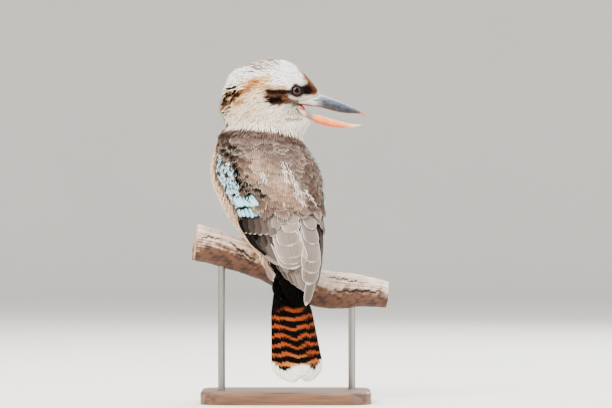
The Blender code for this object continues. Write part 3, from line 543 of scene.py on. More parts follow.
@dataclass(frozen=True)
class BodyShape:
    """The outline of neck, trunk and folded wings, as sections by height."""

    origin: tuple = (0.0, -34.0, 0.0)
    heading: float = math.radians(33)
    # Height, forward, leftward, half side, half depth, and how far the section follows the heading.
    trunk: tuple = (
        (106, -29, 0, 8.5, 8.5, 1), (112, -26, 0, 14, 14, 1), (120.3, -22, 0, 20, 20, 1),
        (131.5, -19, 0, 24.9, 24.9, 1), (142.7, -16, 0, 29.4, 29.4, 1), (153.9, -12.9, 0, 32, 32, 1),
        (165, -9.3, 0, 35.3, 35.3, 1), (176.3, -1.6, 0, 40.6, 40.6, 1), (187.5, 6.6, 0, 45.6, 45.6, 1),
        (198.7, 14.8, 0, 50, 50, 1), (209.9, 22.4, 0, 54, 54, 1), (221.1, 28.6, 0, 56.7, 56.7, 1),
        (232.3, 33.9, 0, 58.8, 58.8, 1), (243.5, 38.4, 0, 60.8, 60.8, 1), (254.7, 42.5, 0, 61.9, 61, 1),
        (265.9, 44.8, 0, 60.2, 59, 1), (277.1, 48.3, 0, 55.6, 54, 0.9), (288.3, 53, 1, 50.1, 48, 0.6),
        (293.9, 51.8, 1.6, 48, 44.5, 0.4), (299.5, 50.2, 0.1, 47, 41, 0.2),
        (305.1, 47.3, -4.4, 46, 38.5, 0), (312, 46, -6, 46.5, 36.5, 0), (318, 48, -3.5, 45, 34, 0),
        (326, 50, -1, 40, 30, 0),
    )
    # Height, and a wing's front and inner edge in degrees from straight ahead.
    wing_edges: tuple = (
        (142, 60, 214), (154, 62, 214), (165, 70, 214), (176, 76, 212), (198, 88, 206), (210, 92, 178),
        (221, 92, 156), (232, 89, 140), (249, 83, 124), (266, 78, 114), (277, 77, 107), (290, 80, 98),
    )
    inner_limit: float = 176.0
    collar_height: float = 296.5
    collar_point: tuple = (-30.0, 9.0)
    collar_slope: tuple = (-0.12, -0.17)

    @property
    def start(self) -> Array:
        """Where the body's own directions start."""
        return np.array(self.origin)

    @property
    def forward(self) -> Array:
        """The way the body faces."""
        return np.array([-math.sin(self.heading), math.cos(self.heading), 0.0])

    @property
    def leftward(self) -> Array:
        """The way to the body's own left."""
        return np.array([-math.cos(self.heading), -math.sin(self.heading), 0.0])

    def middle(self, rows: Array) -> Array:
        """The middle of sections, in plan."""
        ahead = np.multiply.outer(rows[..., 0], self.forward)
        return self.start + ahead + np.multiply.outer(rows[..., 1], self.leftward)

    def outline(self, height: Array, angle: Array, lift: Array | float) -> Array:
        """Places on the outline.

        Args:
            height: heights over the floor.
            angle: turns from straight ahead, towards the left, in radians.
            lift: distances outside the outline.

        Returns:
            The places.
        """
        rows = smooth_rows(self.trunk, height)
        side, depth, turn = rows[..., 2], rows[..., 3], rows[..., 4] * self.heading
        ahead, aside = np.cos(angle), np.sin(angle)
        reach = 1 / np.sqrt((ahead / depth) ** 2 + (aside / side) ** 2) + lift
        middle = self.middle(rows)
        x = middle[..., 0] - (np.sin(turn) * ahead + np.cos(turn) * aside) * reach
        y = middle[..., 1] + (np.cos(turn) * ahead - np.sin(turn) * aside) * reach
        return np.stack([x, y, height + 0 * reach], axis=-1)

    def angle_at(self, places: Array) -> Array:
        """The angle from straight ahead at places, positive on the left.

        Args:
            places: the places.

        Returns:
            Radians.
        """
        rows = smooth_rows(self.trunk, places[..., 2])
        turn = rows[..., 4] * self.heading
        x, y = np.moveaxis((places - self.middle(rows))[..., :2], -1, 0)
        return np.arctan2(-x * np.cos(turn) - y * np.sin(turn), -x * np.sin(turn) + y * np.cos(turn))

    def wing_edge(self, height: Array) -> tuple[Array, Array]:
        """The angles of a wing's front and inner edges at heights, in radians."""
        front, inner = np.moveaxis(smooth_rows(self.wing_edges, height), -1, 0)
        return np.radians(front), np.radians(np.minimum(inner, self.inner_limit))

    def behind_edge(self, places: Array) -> Array:
        """How far places lie behind the wing's front edge, in radians."""
        return np.abs(self.angle_at(places)) - self.wing_edge(places[..., 2])[0]

    def share(self, places: Array) -> Array:
        """Where places lie between a wing's front edge, 0, and its inner edge, 1."""
        front, inner = self.wing_edge(places[..., 2])
        return (np.abs(self.angle_at(places)) - front) / (inner - front)

    def collar(self, places: Array) -> Array:
        """How far places lie above the collar's lower edge."""
        away = (places[..., :2] - np.array(self.collar_point)) @ np.array(self.collar_slope)
        return places[..., 2] - self.collar_height - away

    def mirrored(self, places: Array) -> Array:
        """Places on the bird's left moved to its right."""
        aside = ((places - self.start) * self.leftward).sum(axis=-1, keepdims=True)
        return places - 2 * aside * self.leftward


@dataclass(frozen=True)
class Mark:
    """A soft patch of colour seen from the side, along a line between two places given as x and height."""

    start: tuple
    end: tuple
    radius: float
    colour: str
    strength: float
    softness: float

    def amount(self, places: Array, jitter: Array | float = 0.0) -> Array:
        """How much of the patch's colour each place has.

        Args:
            places: the places.
            jitter: a number around 0 for each place, which roughens the patch's edge.

        Returns:
            Shares from 0 to 1.
        """
        start = np.array(self.start)
        along = np.array(self.end) - start
        flat = places[..., [0, 2]] - start
        share = np.clip((flat @ along) / max(float(along @ along), 1e-6), 0, 1)
        distance = np.linalg.norm(flat - share[..., None] * along, axis=-1) / self.radius + jitter
        return self.strength * (1 - ease((distance - 1 + self.softness) / (2 * self.softness)))


HEAD_MARKS = (
    # Back and side of the crown.
    Mark((-56, 338.7), (-35.8, 345.4), 12.3, "#E4CDA6", 0.75, 0.9),
    Mark((-48.2, 354.4), (-22.4, 361.1), 5.8, "#D9AE74", 0.8, 0.8),
    Mark((-38.1, 334.2), (-26.9, 325.3), 6.7, "#E9E1D3", 0.6, 0.9),
    Mark((-40.3, 358.3), (-33.6, 358.9), 2.2, "#B37A34", 0.8, 0.6),
    Mark((-24.6, 352.7), (0, 351.6), 2.1, "#D2A468", 0.75, 0.7),
    Mark((-35.8, 354.4), (-24.6, 351), 3.4, "#CFA468", 0.6, 0.8),
    # Nape: rufous, three black streaks, ochre and buff.
    Mark((-57.1, 343.2), (-42.6, 350.5), 3.4, "#AC7444", 0.9, 0.5),
    Mark((-69.4, 349.9), (-57.1, 350.5), 2.8, "#15100E", 0.97, 0.4),
    Mark((-77.3, 335.4), (-63.8, 344.3), 3.5, "#120D0B", 1, 0.4),
    Mark((-65, 343.8), (-53.8, 343.8), 2.6, "#2A1B12", 0.95, 0.4),
    Mark((-72.8, 332), (-59.4, 337.6), 2.7, "#1E1611", 0.95, 0.4),
    Mark((-57.1, 333.1), (-49.3, 335.9), 2.9, "#BC8642", 0.75, 0.6),
    Mark((-43.7, 323), (-40.3, 324.2), 2.7, "#CBA06E", 0.5, 0.8),
    Mark((-65, 329.8), (-59.4, 318.6), 3.4, "#DEC6A0", 0.45, 0.9),
    Mark((-51.5, 316.3), (-26.9, 315.2), 2.9, "#DDC6A2", 0.4, 0.9),
    Mark((-72.2, 303.4), (-66.1, 310.7), 1.9, "#5E4028", 0.9, 0.4),
    # Forehead.
    Mark((0, 385.8), (15.7, 377.4), 2.2, "#B58C62", 0.8, 0.6),
    Mark((14.6, 377.9), (24.6, 365.6), 3.6, "#AA7A50", 0.9, 0.6),
    Mark((24.6, 365.6), (31.9, 349.9), 5.6, "#8C5E3A", 0.95, 0.5),
    Mark((22.4, 356.6), (30.2, 348.8), 4, "#5C3C26", 0.9, 0.5),
    # Round the eye and before it.
    Mark((11.2, 348.5), (11.9, 348.5), 7.7, "#120C09", 1, 0.25),
    Mark((15.7, 349.4), (23, 349.4), 5.5, "#1B100A", 1, 0.35),
    Mark((21.3, 348.2), (25.8, 347.7), 3.4, "#2A1A12", 0.9, 0.5),
    Mark((37.5, 353.3), (38.1, 346.6), 2.2, "#EEE9E0", 0.95, 0.4),
    Mark((15.7, 356.1), (21.3, 358.9), 2.5, "#EDE6DA", 0.7, 0.6),
    # Eye stripe, and the lines below the eye.
    Mark((-21.8, 347.1), (5.6, 346.6), 3.1, "#3A271B", 1, 0.3),
    Mark((-21.3, 342.1), (5.6, 340.4), 3.4, "#654632", 0.97, 0.3),
    Mark((-21.3, 338.2), (-5.6, 337.6), 3.4, "#2A1D16", 1, 0.3),
    Mark((-16.8, 334.2), (-7.8, 333.7), 2.2, "#33231A", 0.9, 0.4),
    Mark((-3.4, 338.9), (13.4, 337), 1.3, "#9C6A44", 0.85, 0.4),
    Mark((-2.2, 335.9), (15.7, 333.1), 2.1, "#4A3020", 0.9, 0.4),
    Mark((-7.8, 335.4), (6.7, 334.2), 1.2, "#553A29", 0.9, 0.4),
    Mark((6.7, 334.2), (17.9, 328.1), 1.3, "#5E4530", 0.9, 0.4),
    # Gape, cheek and throat.
    Mark((4.5, 341.5), (15.7, 339.3), 1.7, "#DCD8D2", 0.9, 0.4),
    Mark((2.2, 327.5), (17.9, 324.2), 6.2, "#CFCBC4", 0.6, 0.8),
    # Painted shade under the jaw: the grey line along its lower edge and the grey patch below it.
    Mark((0, 315.8), (16.8, 316.9), 1.2, "#9A948C", 0.75, 0.5),
    Mark((-11.2, 313), (2.2, 312.4), 2.5, "#C8C2B6", 0.5, 0.8),
    Mark((2.2, 306.2), (20.2, 305.1), 6.7, "#F4F2EE", 0.9, 0.6),
)


BACK_MARKS = (
    # Mantle from its top down.
    Mark((-51.5, 292.8), (11.2, 286.1), 13.4, "#7F6E68", 0.6, 0.9),
    Mark((-72.8, 291.7), (-60.5, 274.9), 9, "#453731", 0.85, 0.5),
    Mark((-48.2, 265.9), (-32.5, 237.9), 7.3, "#6B5648", 0.8, 0.7),
    Mark((-44.8, 273.8), (-22.4, 273.8), 4.5, "#A99488", 0.5, 0.8),
    Mark((-30.2, 234.6), (-20.2, 229), 4.7, "#33261F", 0.9, 0.5),
    # Back.
    Mark((-26.9, 255.8), (5.6, 221.1), 13.4, "#B39C88", 0.85, 0.8),
    Mark((-7.8, 237.9), (2.2, 227.8), 5, "#C09A74", 0.5, 0.9),
    Mark((-2.2, 251.4), (16.8, 226.7), 6.7, "#C9B5A3", 0.55, 0.8),
    # Right side, and the mantle's lower edge.
    Mark((22.4, 277.1), (34.7, 229), 7.3, "#6F5B50", 0.75, 0.7),
    Mark((31.4, 226.7), (33.6, 212.2), 3.1, "#4E3D36", 0.85, 0.4),
    Mark((19, 205.4), (25.8, 194.2), 4.5, "#35271F", 0.9, 0.5),
    Mark((-14.6, 214.4), (13.4, 211), 4.5, "#735E52", 0.75, 0.6),
    # Dark line beside the mantle: painted shadow in the gap between the mantle's long feathers and the wing's
    # coverts.
    Mark((-61.6, 285), (-54.9, 269.3), 1.7, "#0E0A08", 0.9, 0.5),
    Mark((-54.9, 269.3), (-48.2, 251.4), 2.2, "#0E0A08", 0.97, 0.4),
    Mark((-48.2, 251.4), (-39.2, 237.9), 2.1, "#0E0A08", 0.97, 0.4),
    Mark((-39.2, 237.9), (-26.9, 229), 1.8, "#0E0A08", 0.95, 0.4),
)

STREAK_COLOUR = "#ECE2DA"
STREAK_MARKS = tuple(
    Mark(start, end, radius, STREAK_COLOUR, 1.0, 0.5)
    for start, end, radius in (
        ((-5, 268.2), (-1.1, 251.4), 1.1),
        ((0.6, 262.6), (11.2, 240.2), 1.4),
        ((9, 237.9), (15.7, 224.5), 1.2),
        ((18.5, 240.2), (28, 225.6), 1.1),
        ((14.6, 222.2), (20.2, 217.8), 1.6),
        ((-26.9, 261.4), (-22.4, 251.4), 1.1),
        ((-3.4, 226.7), (2.2, 220), 1),
    )
)


@dataclass(frozen=True)
class Markings:
    """The bird's colours by place, shared by skin and feathers."""

    shape: BodyShape = field(default_factory=BodyShape)
    crown: str = "#FFFEFC"
    face: str = "#F4EADB"
    breast: str = "#F4EADB"
    breast_bar: str = "#BFA98A"
    mantle: str = "#8E7C72"
    mantle_dark: str = "#65544B"
    flank: str = "#D9B996"
    # near-black painted shade, low on the back and over the rump
    under: str = "#0A0706"
    covert: str = "#3F322B"
    covert_pale: str = "#8E7F76"
    blue: str = "#8CCBE0"
    blue_pale: str = "#DCEBF0"
    # Height, and the share at which the long shoulder feathers' edge crosses a wing there.
    edge: tuple = (
        (205, 1), (208, 0.85), (213, 0.7), (220, 0.75), (229, 0.8), (235, 0.85), (243, 0.92), (250, 0.97),
        (265, 1.1), (280, 1.2),
    )

    def head(self, places: Array) -> Array:
        """Colour head and neck.

        Args:
            places: the places.

        Returns:
            Their linear colours.
        """
        jitter = 0.16 * ripple(places, (9.0, 4.0), 3)
        colours = mix(linear(self.face), self.crown, ease((places[..., 2] - 335) / 25))
        return layered(colours, *((mark.colour, mark.amount(places, jitter)) for mark in HEAD_MARKS))

    def front(self, places: Array) -> Array:
        """Colour breast, belly, flanks and the vent's tufts, with faint bars low down.

        Args:
            places: the places.

        Returns:
            Their linear colours.
        """
        wave = places[..., 2] + 2.5 * ripple(places, (30.0, 12.0), 5)
        bar = 0.35 * np.clip(np.sin(wave * FULL_TURN / 9.0) - 0.35, 0, 1)
        side = 0.75 * (1 - ease((-self.shape.behind_edge(places) - 0.25) / 0.35))
        low = ease((278 - places[..., 2]) / 30)
        return layered(linear(self.breast), (self.flank, side), (self.breast_bar, bar * low))

    def back(self, places: Array) -> Array:
        """Colour mantle, back and shoulders, with near-black painted shade low on the rump.

        Args:
            places: the places.

        Returns:
            Their linear colours.
        """
        jitter = 0.3 * ripple(places, (14.0, 6.0), 7)
        tone = 0.5 + 0.6 * ripple(places, (18.0, 8.0), 9)
        marks = ((mark.colour, mark.amount(places, jitter)) for mark in BACK_MARKS)
        # Below the wings' tips the back and rump are painted near-black as shade.
        low = ease((176 - places[..., 2]) / 14)
        return layered(linear(self.mantle_dark), (self.mantle, tone), *marks, (self.under, low))

    def shoulder(self, places: Array) -> Array:
        """Colour a wing's small coverts dark brown with paler streaks, near-black as painted shadow next to
        the mantle's edge.

        Args:
            places: the places.

        Returns:
            Their linear colours.
        """
        tone = 0.4 + 0.9 * ripple(places * np.array([1, 1, 0.4]), (5.0, 2.5), 13)
        colours = mix(linear(self.covert), self.covert_pale, tone)
        # Next to the mantle's edge the coverts are painted near-black: painted shadow in the gap under the
        # mantle's long feathers.
        gap = self.line(places[..., 2]) - self.shape.share(places)
        return colours * (0.12 + 0.88 * ease((gap - 0.05) / 0.1))[..., None]

    def line(self, heights: Array) -> Array:
        """The share at which the long shoulder feathers' edge crosses a wing at heights."""
        return np.interp(heights, *zip(*self.edge))

    def blue_tips(self, places: Array, draw: np.random.Generator) -> tuple[Array, Array]:
        """Colour the coverts' pale blue tips.

        Args:
            places: the places.
            draw: the feathers' draw.

        Returns:
            Linear colours, and how much of them each feather shows.
        """
        colours = mix(linear(self.blue), self.blue_pale, draw.random(len(places)))
        share = self.shape.share(places)
        zone = ease((290 - 22 * share - places[..., 2]) / 18) * ease((share - 0.03) / 0.1)
        zone = zone * ease((self.line(places[..., 2]) - share - 0.1) / 0.08)
        return colours, (draw.random(len(places)) < 0.86 * zone) * draw.uniform(0.7, 1.0, len(places))

    def everywhere(self, places: Array) -> Array:
        """Colour any place of the skin.

        Args:
            places: the places.

        Returns:
            Their linear colours.
        """
        height = places[..., 2]
        vent = 0.8 * ease((178 - height) / 16) * ease((height - 146) / 8)
        upper = ease((self.shape.behind_edge(places) - vent) / 0.12 + 0.5)
        above = ease(self.shape.collar(places) / 3.0 + 0.5)
        return layered(self.front(places), (self.back(places), upper), (self.head(places), above))

    def measures(self, places: Array) -> dict[str, Array]:
        """Measure where places lie on the bird.

        Args:
            places: the places.

        Returns:
            What the zones have limits for, by name.
        """
        height, share = places[..., 2], self.shape.share(places)
        edge = self.line(height - 15) + np.interp(height, [230, 265], [0.08, 0.2])
        return {
            "x": places[..., 0],
            "height": height,
            "collar": self.shape.collar(places),
            "behind": self.shape.behind_edge(places),
            "share": share,
            "over_edge": share - edge,  # above 0 where the mantle's long feathers are rooted
            "from_gap": np.abs(share - self.line(height - 5) + 0.04),  # from the painted shadow line at their edge
            "streak": sum(mark.amount(places) for mark in STREAK_MARKS),
        }

    def within(self, places: Array, zone: Zone) -> Array:
        """Whether places lie in a zone: above each measure's lower limit and not above its upper one."""
        found = self.measures(places)
        return np.all([(low < found[key]) & (found[key] <= high) for key, (low, high) in zone.items()], 0)


@dataclass(frozen=True)
class SkinFinish(Finish):
    """Thin dry bird skin under the coat, tinted as the coat over it, with the fine pits of feather roots."""

    name: str = "skin under the coat"
    pit: float = 1.6  # between pits
    shade: tuple = (0.8, 0.77, 0.74)

    def make(self, board: NodeBoard) -> None:
        """Shade the tint and press the pits in.

        Args:
            board: the material under way.
        """
        pits = board.node("TexVoronoi", {"Scale": 1 / (self.pit * MM)}, {"Vector": board.place()})
        shaded = board.node("VectorMath", {"operation": "MULTIPLY", 1: self.shade}, {0: board.tint()})
        even = {"Roughness": 0.85, "Specular IOR Level": 0.1}
        board.finish(shaded.outputs["Vector"], even, (pits.outputs["Distance"], 0.3, 0.3 * MM))


@dataclass(frozen=True)
class MottledFinish(Finish):
    """Base of the finishes whose tint varies with one fine noise."""

    grain: float = 1.0  # size of the noise
    detail: float = 2.0
    tones: tuple = (0.8, 1.15)
    even: tuple = ()
    bump: float = 0.0

    def make(self, board: NodeBoard) -> None:
        """Vary the tint with the noise.

        Args:
            board: the material under way.
        """
        noise = board.noise(board.place(), 1 / (self.grain * MM), self.detail)
        colour = board.scaled(board.tint(), board.ranged(noise, 0.3, 0.7, *self.tones))
        board.finish(colour, dict(self.even), (noise, self.bump, 0.2 * MM) if self.bump else None)


@dataclass(frozen=True)
class DownFinish(MottledFinish):
    """Soft body feathers: matt keratin barbs that scatter light, so the colour is even with a faint sheen."""

    name: str = "soft body feathers"
    grain: float = 3.0
    detail: float = 3.0
    tones: tuple = (0.86, 1.08)
    even: tuple = (("Roughness", 0.8), ("Specular IOR Level", 0.03))


@dataclass(frozen=True)
class VaneFinish(Finish):
    """Firm feather vanes: rows of hooked barbs give fine slanting lines, with a shaft and a paler fringe."""

    name: str = "feather vanes"
    barbs: float = 34.0  # lines along a vane, coarser than real so that they show
    slant: float = 0.45
    rough: float = 0.62

    def make(self, board: NodeBoard) -> None:
        """Draw barbs and shaft over the tint.

        Args:
            board: the material under way.
        """
        flat = board.node("SeparateXYZ", {}, {"Vector": board.map("vane")}).outputs
        away = board.maths("ABSOLUTE", board.maths("SUBTRACT", flat["X"], 0.5))
        run = board.maths("SUBTRACT", flat["Y"], board.maths("MULTIPLY", away, self.slant))
        line = board.maths("SINE", board.maths("MULTIPLY", run, self.barbs * FULL_TURN))
        shaft = board.ranged(away, 0.012, 0.03, 0.72, 1.0)
        tone = board.maths("MULTIPLY", board.ranged(line, -1.0, 1.0, 0.9, 1.05), shaft)
        even = {"Roughness": self.rough, "Specular IOR Level": 0.03}
        board.finish(board.scaled(board.tint(), tone), even, (tone, 0.35, 0.2 * MM))


@dataclass
class Plumes:
    """Many closed feathers gathered as arrays for one mesh."""

    name: str
    points: list = field(default_factory=list)
    tints: list = field(default_factory=list)
    vanes: list = field(default_factory=list)
    bakes: list = field(default_factory=list)
    rings: list = field(default_factory=list)

    def add(
        self, lines: Array, outward: Array, widths: Array, thick: Array, section: Array, tints: Array,
        patches: Array, patch: tuple = (PATCH, PATCH),
    ) -> None:
        """Add feathers that share one section.

        Args:
            lines: middle lines, feathers by rows by 3.
            outward: outward directions at those rows.
            widths: half widths at the rows.
            thick: heights of the section at the rows.
            section: the section's corners, counterclockwise, as (across, up).
            tints: colours, feathers by rows by corners by 3.
            patches: each feather's lower left place on the bake map.
            patch: the patch's width and height there.
        """
        count, rows, _ = lines.shape
        along = unit(np.gradient(lines, axis=1))
        across = unit(np.cross(along, outward))
        lifted = np.cross(across, along)
        lifted *= np.sign((lifted * outward).sum(-1, keepdims=True))
        sides = (widths[:, :, None] * section[:, 0])[..., None] * across[:, :, None]
        ups = (thick[:, :, None] * section[:, 1])[..., None] * lifted[:, :, None]
        places = lines[:, :, None] + sides + ups
        self.rings.append((count, rows, len(section)))
        self.points.append(places.reshape(-1, 3))
        self.tints.append(np.broadcast_to(np.clip(tints, 0, 1), places.shape).reshape(-1, 3))
        run = np.linspace(0, 1, rows)[None, :, None]
        flat = np.stack(np.broadcast_arrays((section[:, 0] + 1) / 2, run), axis=-1)
        flat = np.broadcast_to(flat, (*places.shape[:3], 2))
        self.vanes.append(flat.reshape(-1, 2))
        self.bakes.append((patches[:, None, None, :] + flat * np.array(patch)).reshape(-1, 2))

    def build(self) -> Thing:
        """Make the mesh object.

        Returns:
            The object, at the origin.
        """
        corners_of, sizes, offset = [], [], 0
        for count, rows, corners in self.rings:
            here = np.arange(corners)
            first = offset + np.arange(count)[:, None, None] * rows * corners
            low = first + np.arange(rows - 1)[None, :, None] * corners
            high, after = low + corners, (here + 1) % corners
            quads = np.stack([low + here, high + here, high + after, low + after], axis=-1)
            root = first[:, 0] + here
            tip = first[:, 0] + (rows - 1) * corners + here[::-1]
            corners_of += [quads.reshape(-1), root.reshape(-1), tip.reshape(-1)]
            sizes += [np.full(quads.size // 4, 4), np.full(2 * count, corners)]
            offset += count * rows * corners
        loops, totals = np.concatenate(corners_of), np.concatenate(sizes)
        starts = np.concatenate([[0], np.cumsum(totals)[:-1]])
        mesh = bpy.data.meshes.new(self.name)
        mesh.vertices.add(offset)
        mesh.vertices.foreach_set("co", (np.concatenate(self.points) * MM).astype(np.float32).ravel())
        mesh.loops.add(len(loops))
        mesh.loops.foreach_set("vertex_index", loops.astype(np.int32))
        mesh.polygons.add(len(totals))
        mesh.polygons.foreach_set("loop_start", starts.astype(np.int32))
        mesh.polygons.foreach_set("use_smooth", np.ones(len(totals), bool))
        mesh.update(calc_edges=True)
        for name, flat in (("vane", self.vanes), ("OFBake", self.bakes)):
            layer = mesh.uv_layers.new(name=name)
            layer.data.foreach_set("uv", np.concatenate(flat)[loops].astype(np.float32).ravel())
        thing = bpy.data.objects.new(self.name, mesh)
        bpy.context.scene.collection.objects.link(thing)
        paint(thing, np.concatenate(self.tints))
        return thing


STRAND = np.array([[1.0, 0.0], [0.0, 1.0], [-1.0, 0.0]])
PLATE = np.array([[1.0, 0.0], [0.92, 0.3], [0.4, 0.8], [-0.4, 0.8], [-0.92, 0.3], [-1.0, 0.0]])
HALF_VANE = [[1.0, -0.25], [1.0, 0.05], [0.93, 0.2], [0.5, 0.7], [0.04, 1.0]]
VANE = np.array(HALF_VANE + [[-across, up] for across, up in HALF_VANE[::-1]])


@dataclass
class Skin:
    """One closed skin for head, neck, trunk and wings, which every feather is rooted in."""

    markings: Markings
    voxel: float = 2.2  # the size of the skin's faces
    body_depth: float = 3.2  # how far it lies inside the trunk's outline
    head_depth: float = 2.0
    beak_depth: float = 0.7
    nodes: tuple = ("torso", "neck", "head", "wing_left", "wing_right")
    filled: tuple = ("eye_left", "eye_right")

    def build(self) -> Thing:
        """Make the skin and keep what the feathers need of it.

        Returns:
            The skin.
        """
        thing = copy_of([*self.nodes, *self.filled], "skin")
        apply_modifier(thing, "REMESH", mode="VOXEL", voxel_size=self.voxel * MM)
        apply_modifier(thing, "SMOOTH", factor=0.6, iterations=6)
        places = vertex_places(thing)
        head = ease(self.markings.shape.collar(places) / 12)
        beak = ease((places[:, 0] - 16) / 14) * head
        depth = self.body_depth + (self.head_depth - self.body_depth) * head
        depth = depth - (self.head_depth - self.beak_depth) * beak
        normals = read_mesh(thing.data.vertex_normals, "vector", 3)
        move_vertices(thing, places - normals * depth[:, None])
        apply_modifier(thing, "REMESH", mode="VOXEL", voxel_size=self.voxel * MM)
        apply_modifier(thing, "SMOOTH", factor=0.5, iterations=4)
        keep_largest(thing)
        select_only([thing])
        bpy.ops.object.mode_set(mode="EDIT")
        bpy.ops.mesh.select_all(action="SELECT")
        bpy.ops.uv.smart_project(angle_limit=math.radians(66), island_margin=0.004)
        bpy.ops.object.mode_set(mode="OBJECT")
        thing.data.uv_layers[0].name = "OFBake"
        shade_smooth(thing)
        paint(thing, self.markings.everywhere(vertex_places(thing)))
        self.read(thing)
        return finish_piece(thing, SkinFinish().build(), self.nodes)

    def read(self, thing: Thing) -> None:
        """Keep the skin's triangles, their places on the bake map, and a search tree.

        Args:
            thing: the skin.
        """
        mesh = thing.data
        mesh.calc_loop_triangles()
        loops = read_mesh(mesh.loop_triangles, "loops", 3, np.int32)
        self.places = vertex_places(thing)
        self.normals = read_mesh(mesh.vertex_normals, "vector", 3)
        self.faces = read_mesh(mesh.loop_triangles, "vertices", 3, np.int32)
        self.flat = read_mesh(mesh.uv_layers["OFBake"].data, "uv", 2)[loops]
        self.tree = BVHTree.FromPolygons([Vector(place) for place in self.places], self.faces.tolist())

    def scatter(self, spacing: float, zone: Zone, seed: int) -> tuple[Array, Array, Array]:
        """Find evenly spread places on part of the skin.

        Args:
            spacing: the least distance between them.
            zone: the part.
            seed: fixes the draw.

        Returns:
            The places, their outward directions and their places on the bake map.
        """
        draw = np.random.default_rng(seed)
        corners = self.places[self.faces]
        area = np.cross(corners[:, 1] - corners[:, 0], corners[:, 2] - corners[:, 0])
        chosen = self.markings.within(corners.mean(axis=1), zone)
        area = np.linalg.norm(area, axis=-1) / 2 * chosen
        count = int(area.sum() / spacing**2 * 5)
        which = draw.choice(len(area), count, p=area / area.sum())
        a, b = np.sqrt(draw.random(count)), draw.random(count)
        weights = np.stack([1 - a, a * (1 - b), a * b], axis=-1)[..., None]
        places = (corners[which] * weights).sum(axis=1)
        cells, kept, limit = {}, [], spacing**2
        keys = map(tuple, np.floor(places / spacing).astype(int).tolist())
        around = (-1, 0, 1)
        nearby = [(i, j, k) for i in around for j in around for k in around]
        for index, ((u, v, w), (x, y, z)) in enumerate(zip(keys, places.tolist())):
            others = (other for i, j, k in nearby for other in cells.get((u + i, v + j, w + k), ()))
            if all((p - x) ** 2 + (q - y) ** 2 + (r - z) ** 2 >= limit for p, q, r in others):
                cells.setdefault((u, v, w), []).append((x, y, z))
                kept.append(index)
        which, weights = which[kept], weights[kept]
        normals = unit((self.normals[self.faces[which]] * weights).sum(axis=1))
        return places[kept], normals, (self.flat[which] * weights).sum(axis=1)

    def comb(
        self, roots: Array, normals: Array, lengths: Array, rows: int, lie: Placing, stray: Array, lift: Array
    ) -> tuple[Array, Array]:
        """Lead feathers from their roots along the lie of the coat.

        Args:
            roots: their places on the skin.
            normals: the outward directions there.
            lengths: how long they are.
            rows: how many places each has.
            lie: gives the lie's direction at places with their outward directions.
            stray: what each feather adds to that direction.
            lift: how high over the skin their tips lie.

        Returns:
            Middle lines and outward directions, feathers by rows by 3.
        """
        lines, outs = [roots - normals * 0.4], [normals]
        here, out = roots, normals
        for row in range(1, rows):
            way = lie(here, out) + stray
            way = unit(way - (way * out).sum(-1, keepdims=True) * out)
            moved = here + way * (lengths / (rows - 1))[:, None]
            found = [self.tree.find_nearest(place)[:2] for place in moved.tolist()]
            here = np.array([place for place, _ in found])
            out = unit(0.5 * out + np.array([normal for _, normal in found]))
            lines.append(here + out * (lift * ease(1.35 * row / (rows - 1)))[:, None])
            outs.append(out)
        return np.stack(lines, axis=1), np.stack(outs, axis=1)


@dataclass(frozen=True)
class Growth:
    """How the feathers of one part grow."""

    spacing: float  # between roots
    length: float
    width: float
    seed: int
    rows: int  # places along each
    lift: float  # of the tips over the skin
    uneven: float = 0.12  # share by which lengths and lifts differ
    mottle: float = 0.05  # share by which tones differ
    colour: str = ""  # one colour for all, or else the markings' own


@dataclass(frozen=True)
class CrestPart:
    """Where some of the crest's loose tufts grow, and their colours."""

    growth: Growth
    zone: Zone
    colours: tuple


CREST_PARTS = (
    CrestPart(
        Growth(3.2, 12.0, 1.8, 80, 6, 4.6),
        {"x": (-ANY, -40), "height": (350, ANY), "collar": (12, ANY)},
        ("#F1EDE5", "#E9DFCE"),
    ),
    CrestPart(
        Growth(3.5, 16.0, 1.8, 81, 6, 5.6),
        {"x": (-32, -4), "height": (369, ANY), "collar": (12, ANY)},
        ("#7A5233", "#4E3626", "#B98E66", "#E8DDCC"),
    ),
    CrestPart(
        Growth(3.0, 13.0, 1.8, 82, 6, 4.8),
        {"x": (-ANY, -56), "height": (325, 349), "collar": (12, ANY)},
        ("#2A1F19", "#8A5B38", "#E5D6BD"),
    ),
)

# The parts of the skin, as limits of what Markings.measures gives.
HEAD = {"collar": (10, ANY), "x": (-14, ANY)}
NAPE = {"collar": (10, ANY), "x": (-ANY, -14)}
NECK = {"collar": (-1, 10)}
BREAST = {"collar": (-ANY, 0), "behind": (-ANY, 0.2), "height": (170, ANY)}
BELLY = {"behind": (-ANY, 0.35), "height": (134, 170)}  # down to the tail's coverts
MANTLE = {"collar": (-ANY, 3), "over_edge": (0, ANY), "height": (221, ANY)}
STREAKS = {**MANTLE, "streak": (0.3, ANY)}
GAP = {"from_gap": (-ANY, 0.055), "height": (228, 287)}
RUMP = {"behind": (0.5, ANY), "height": (-ANY, 172)}
SHOULDER = {
    "collar": (-ANY, 1),
    "behind": (-0.05, ANY),
    "share": (-ANY, 1.1),
    "over_edge": (-ANY, 0),
    "height": (226, ANY),
}


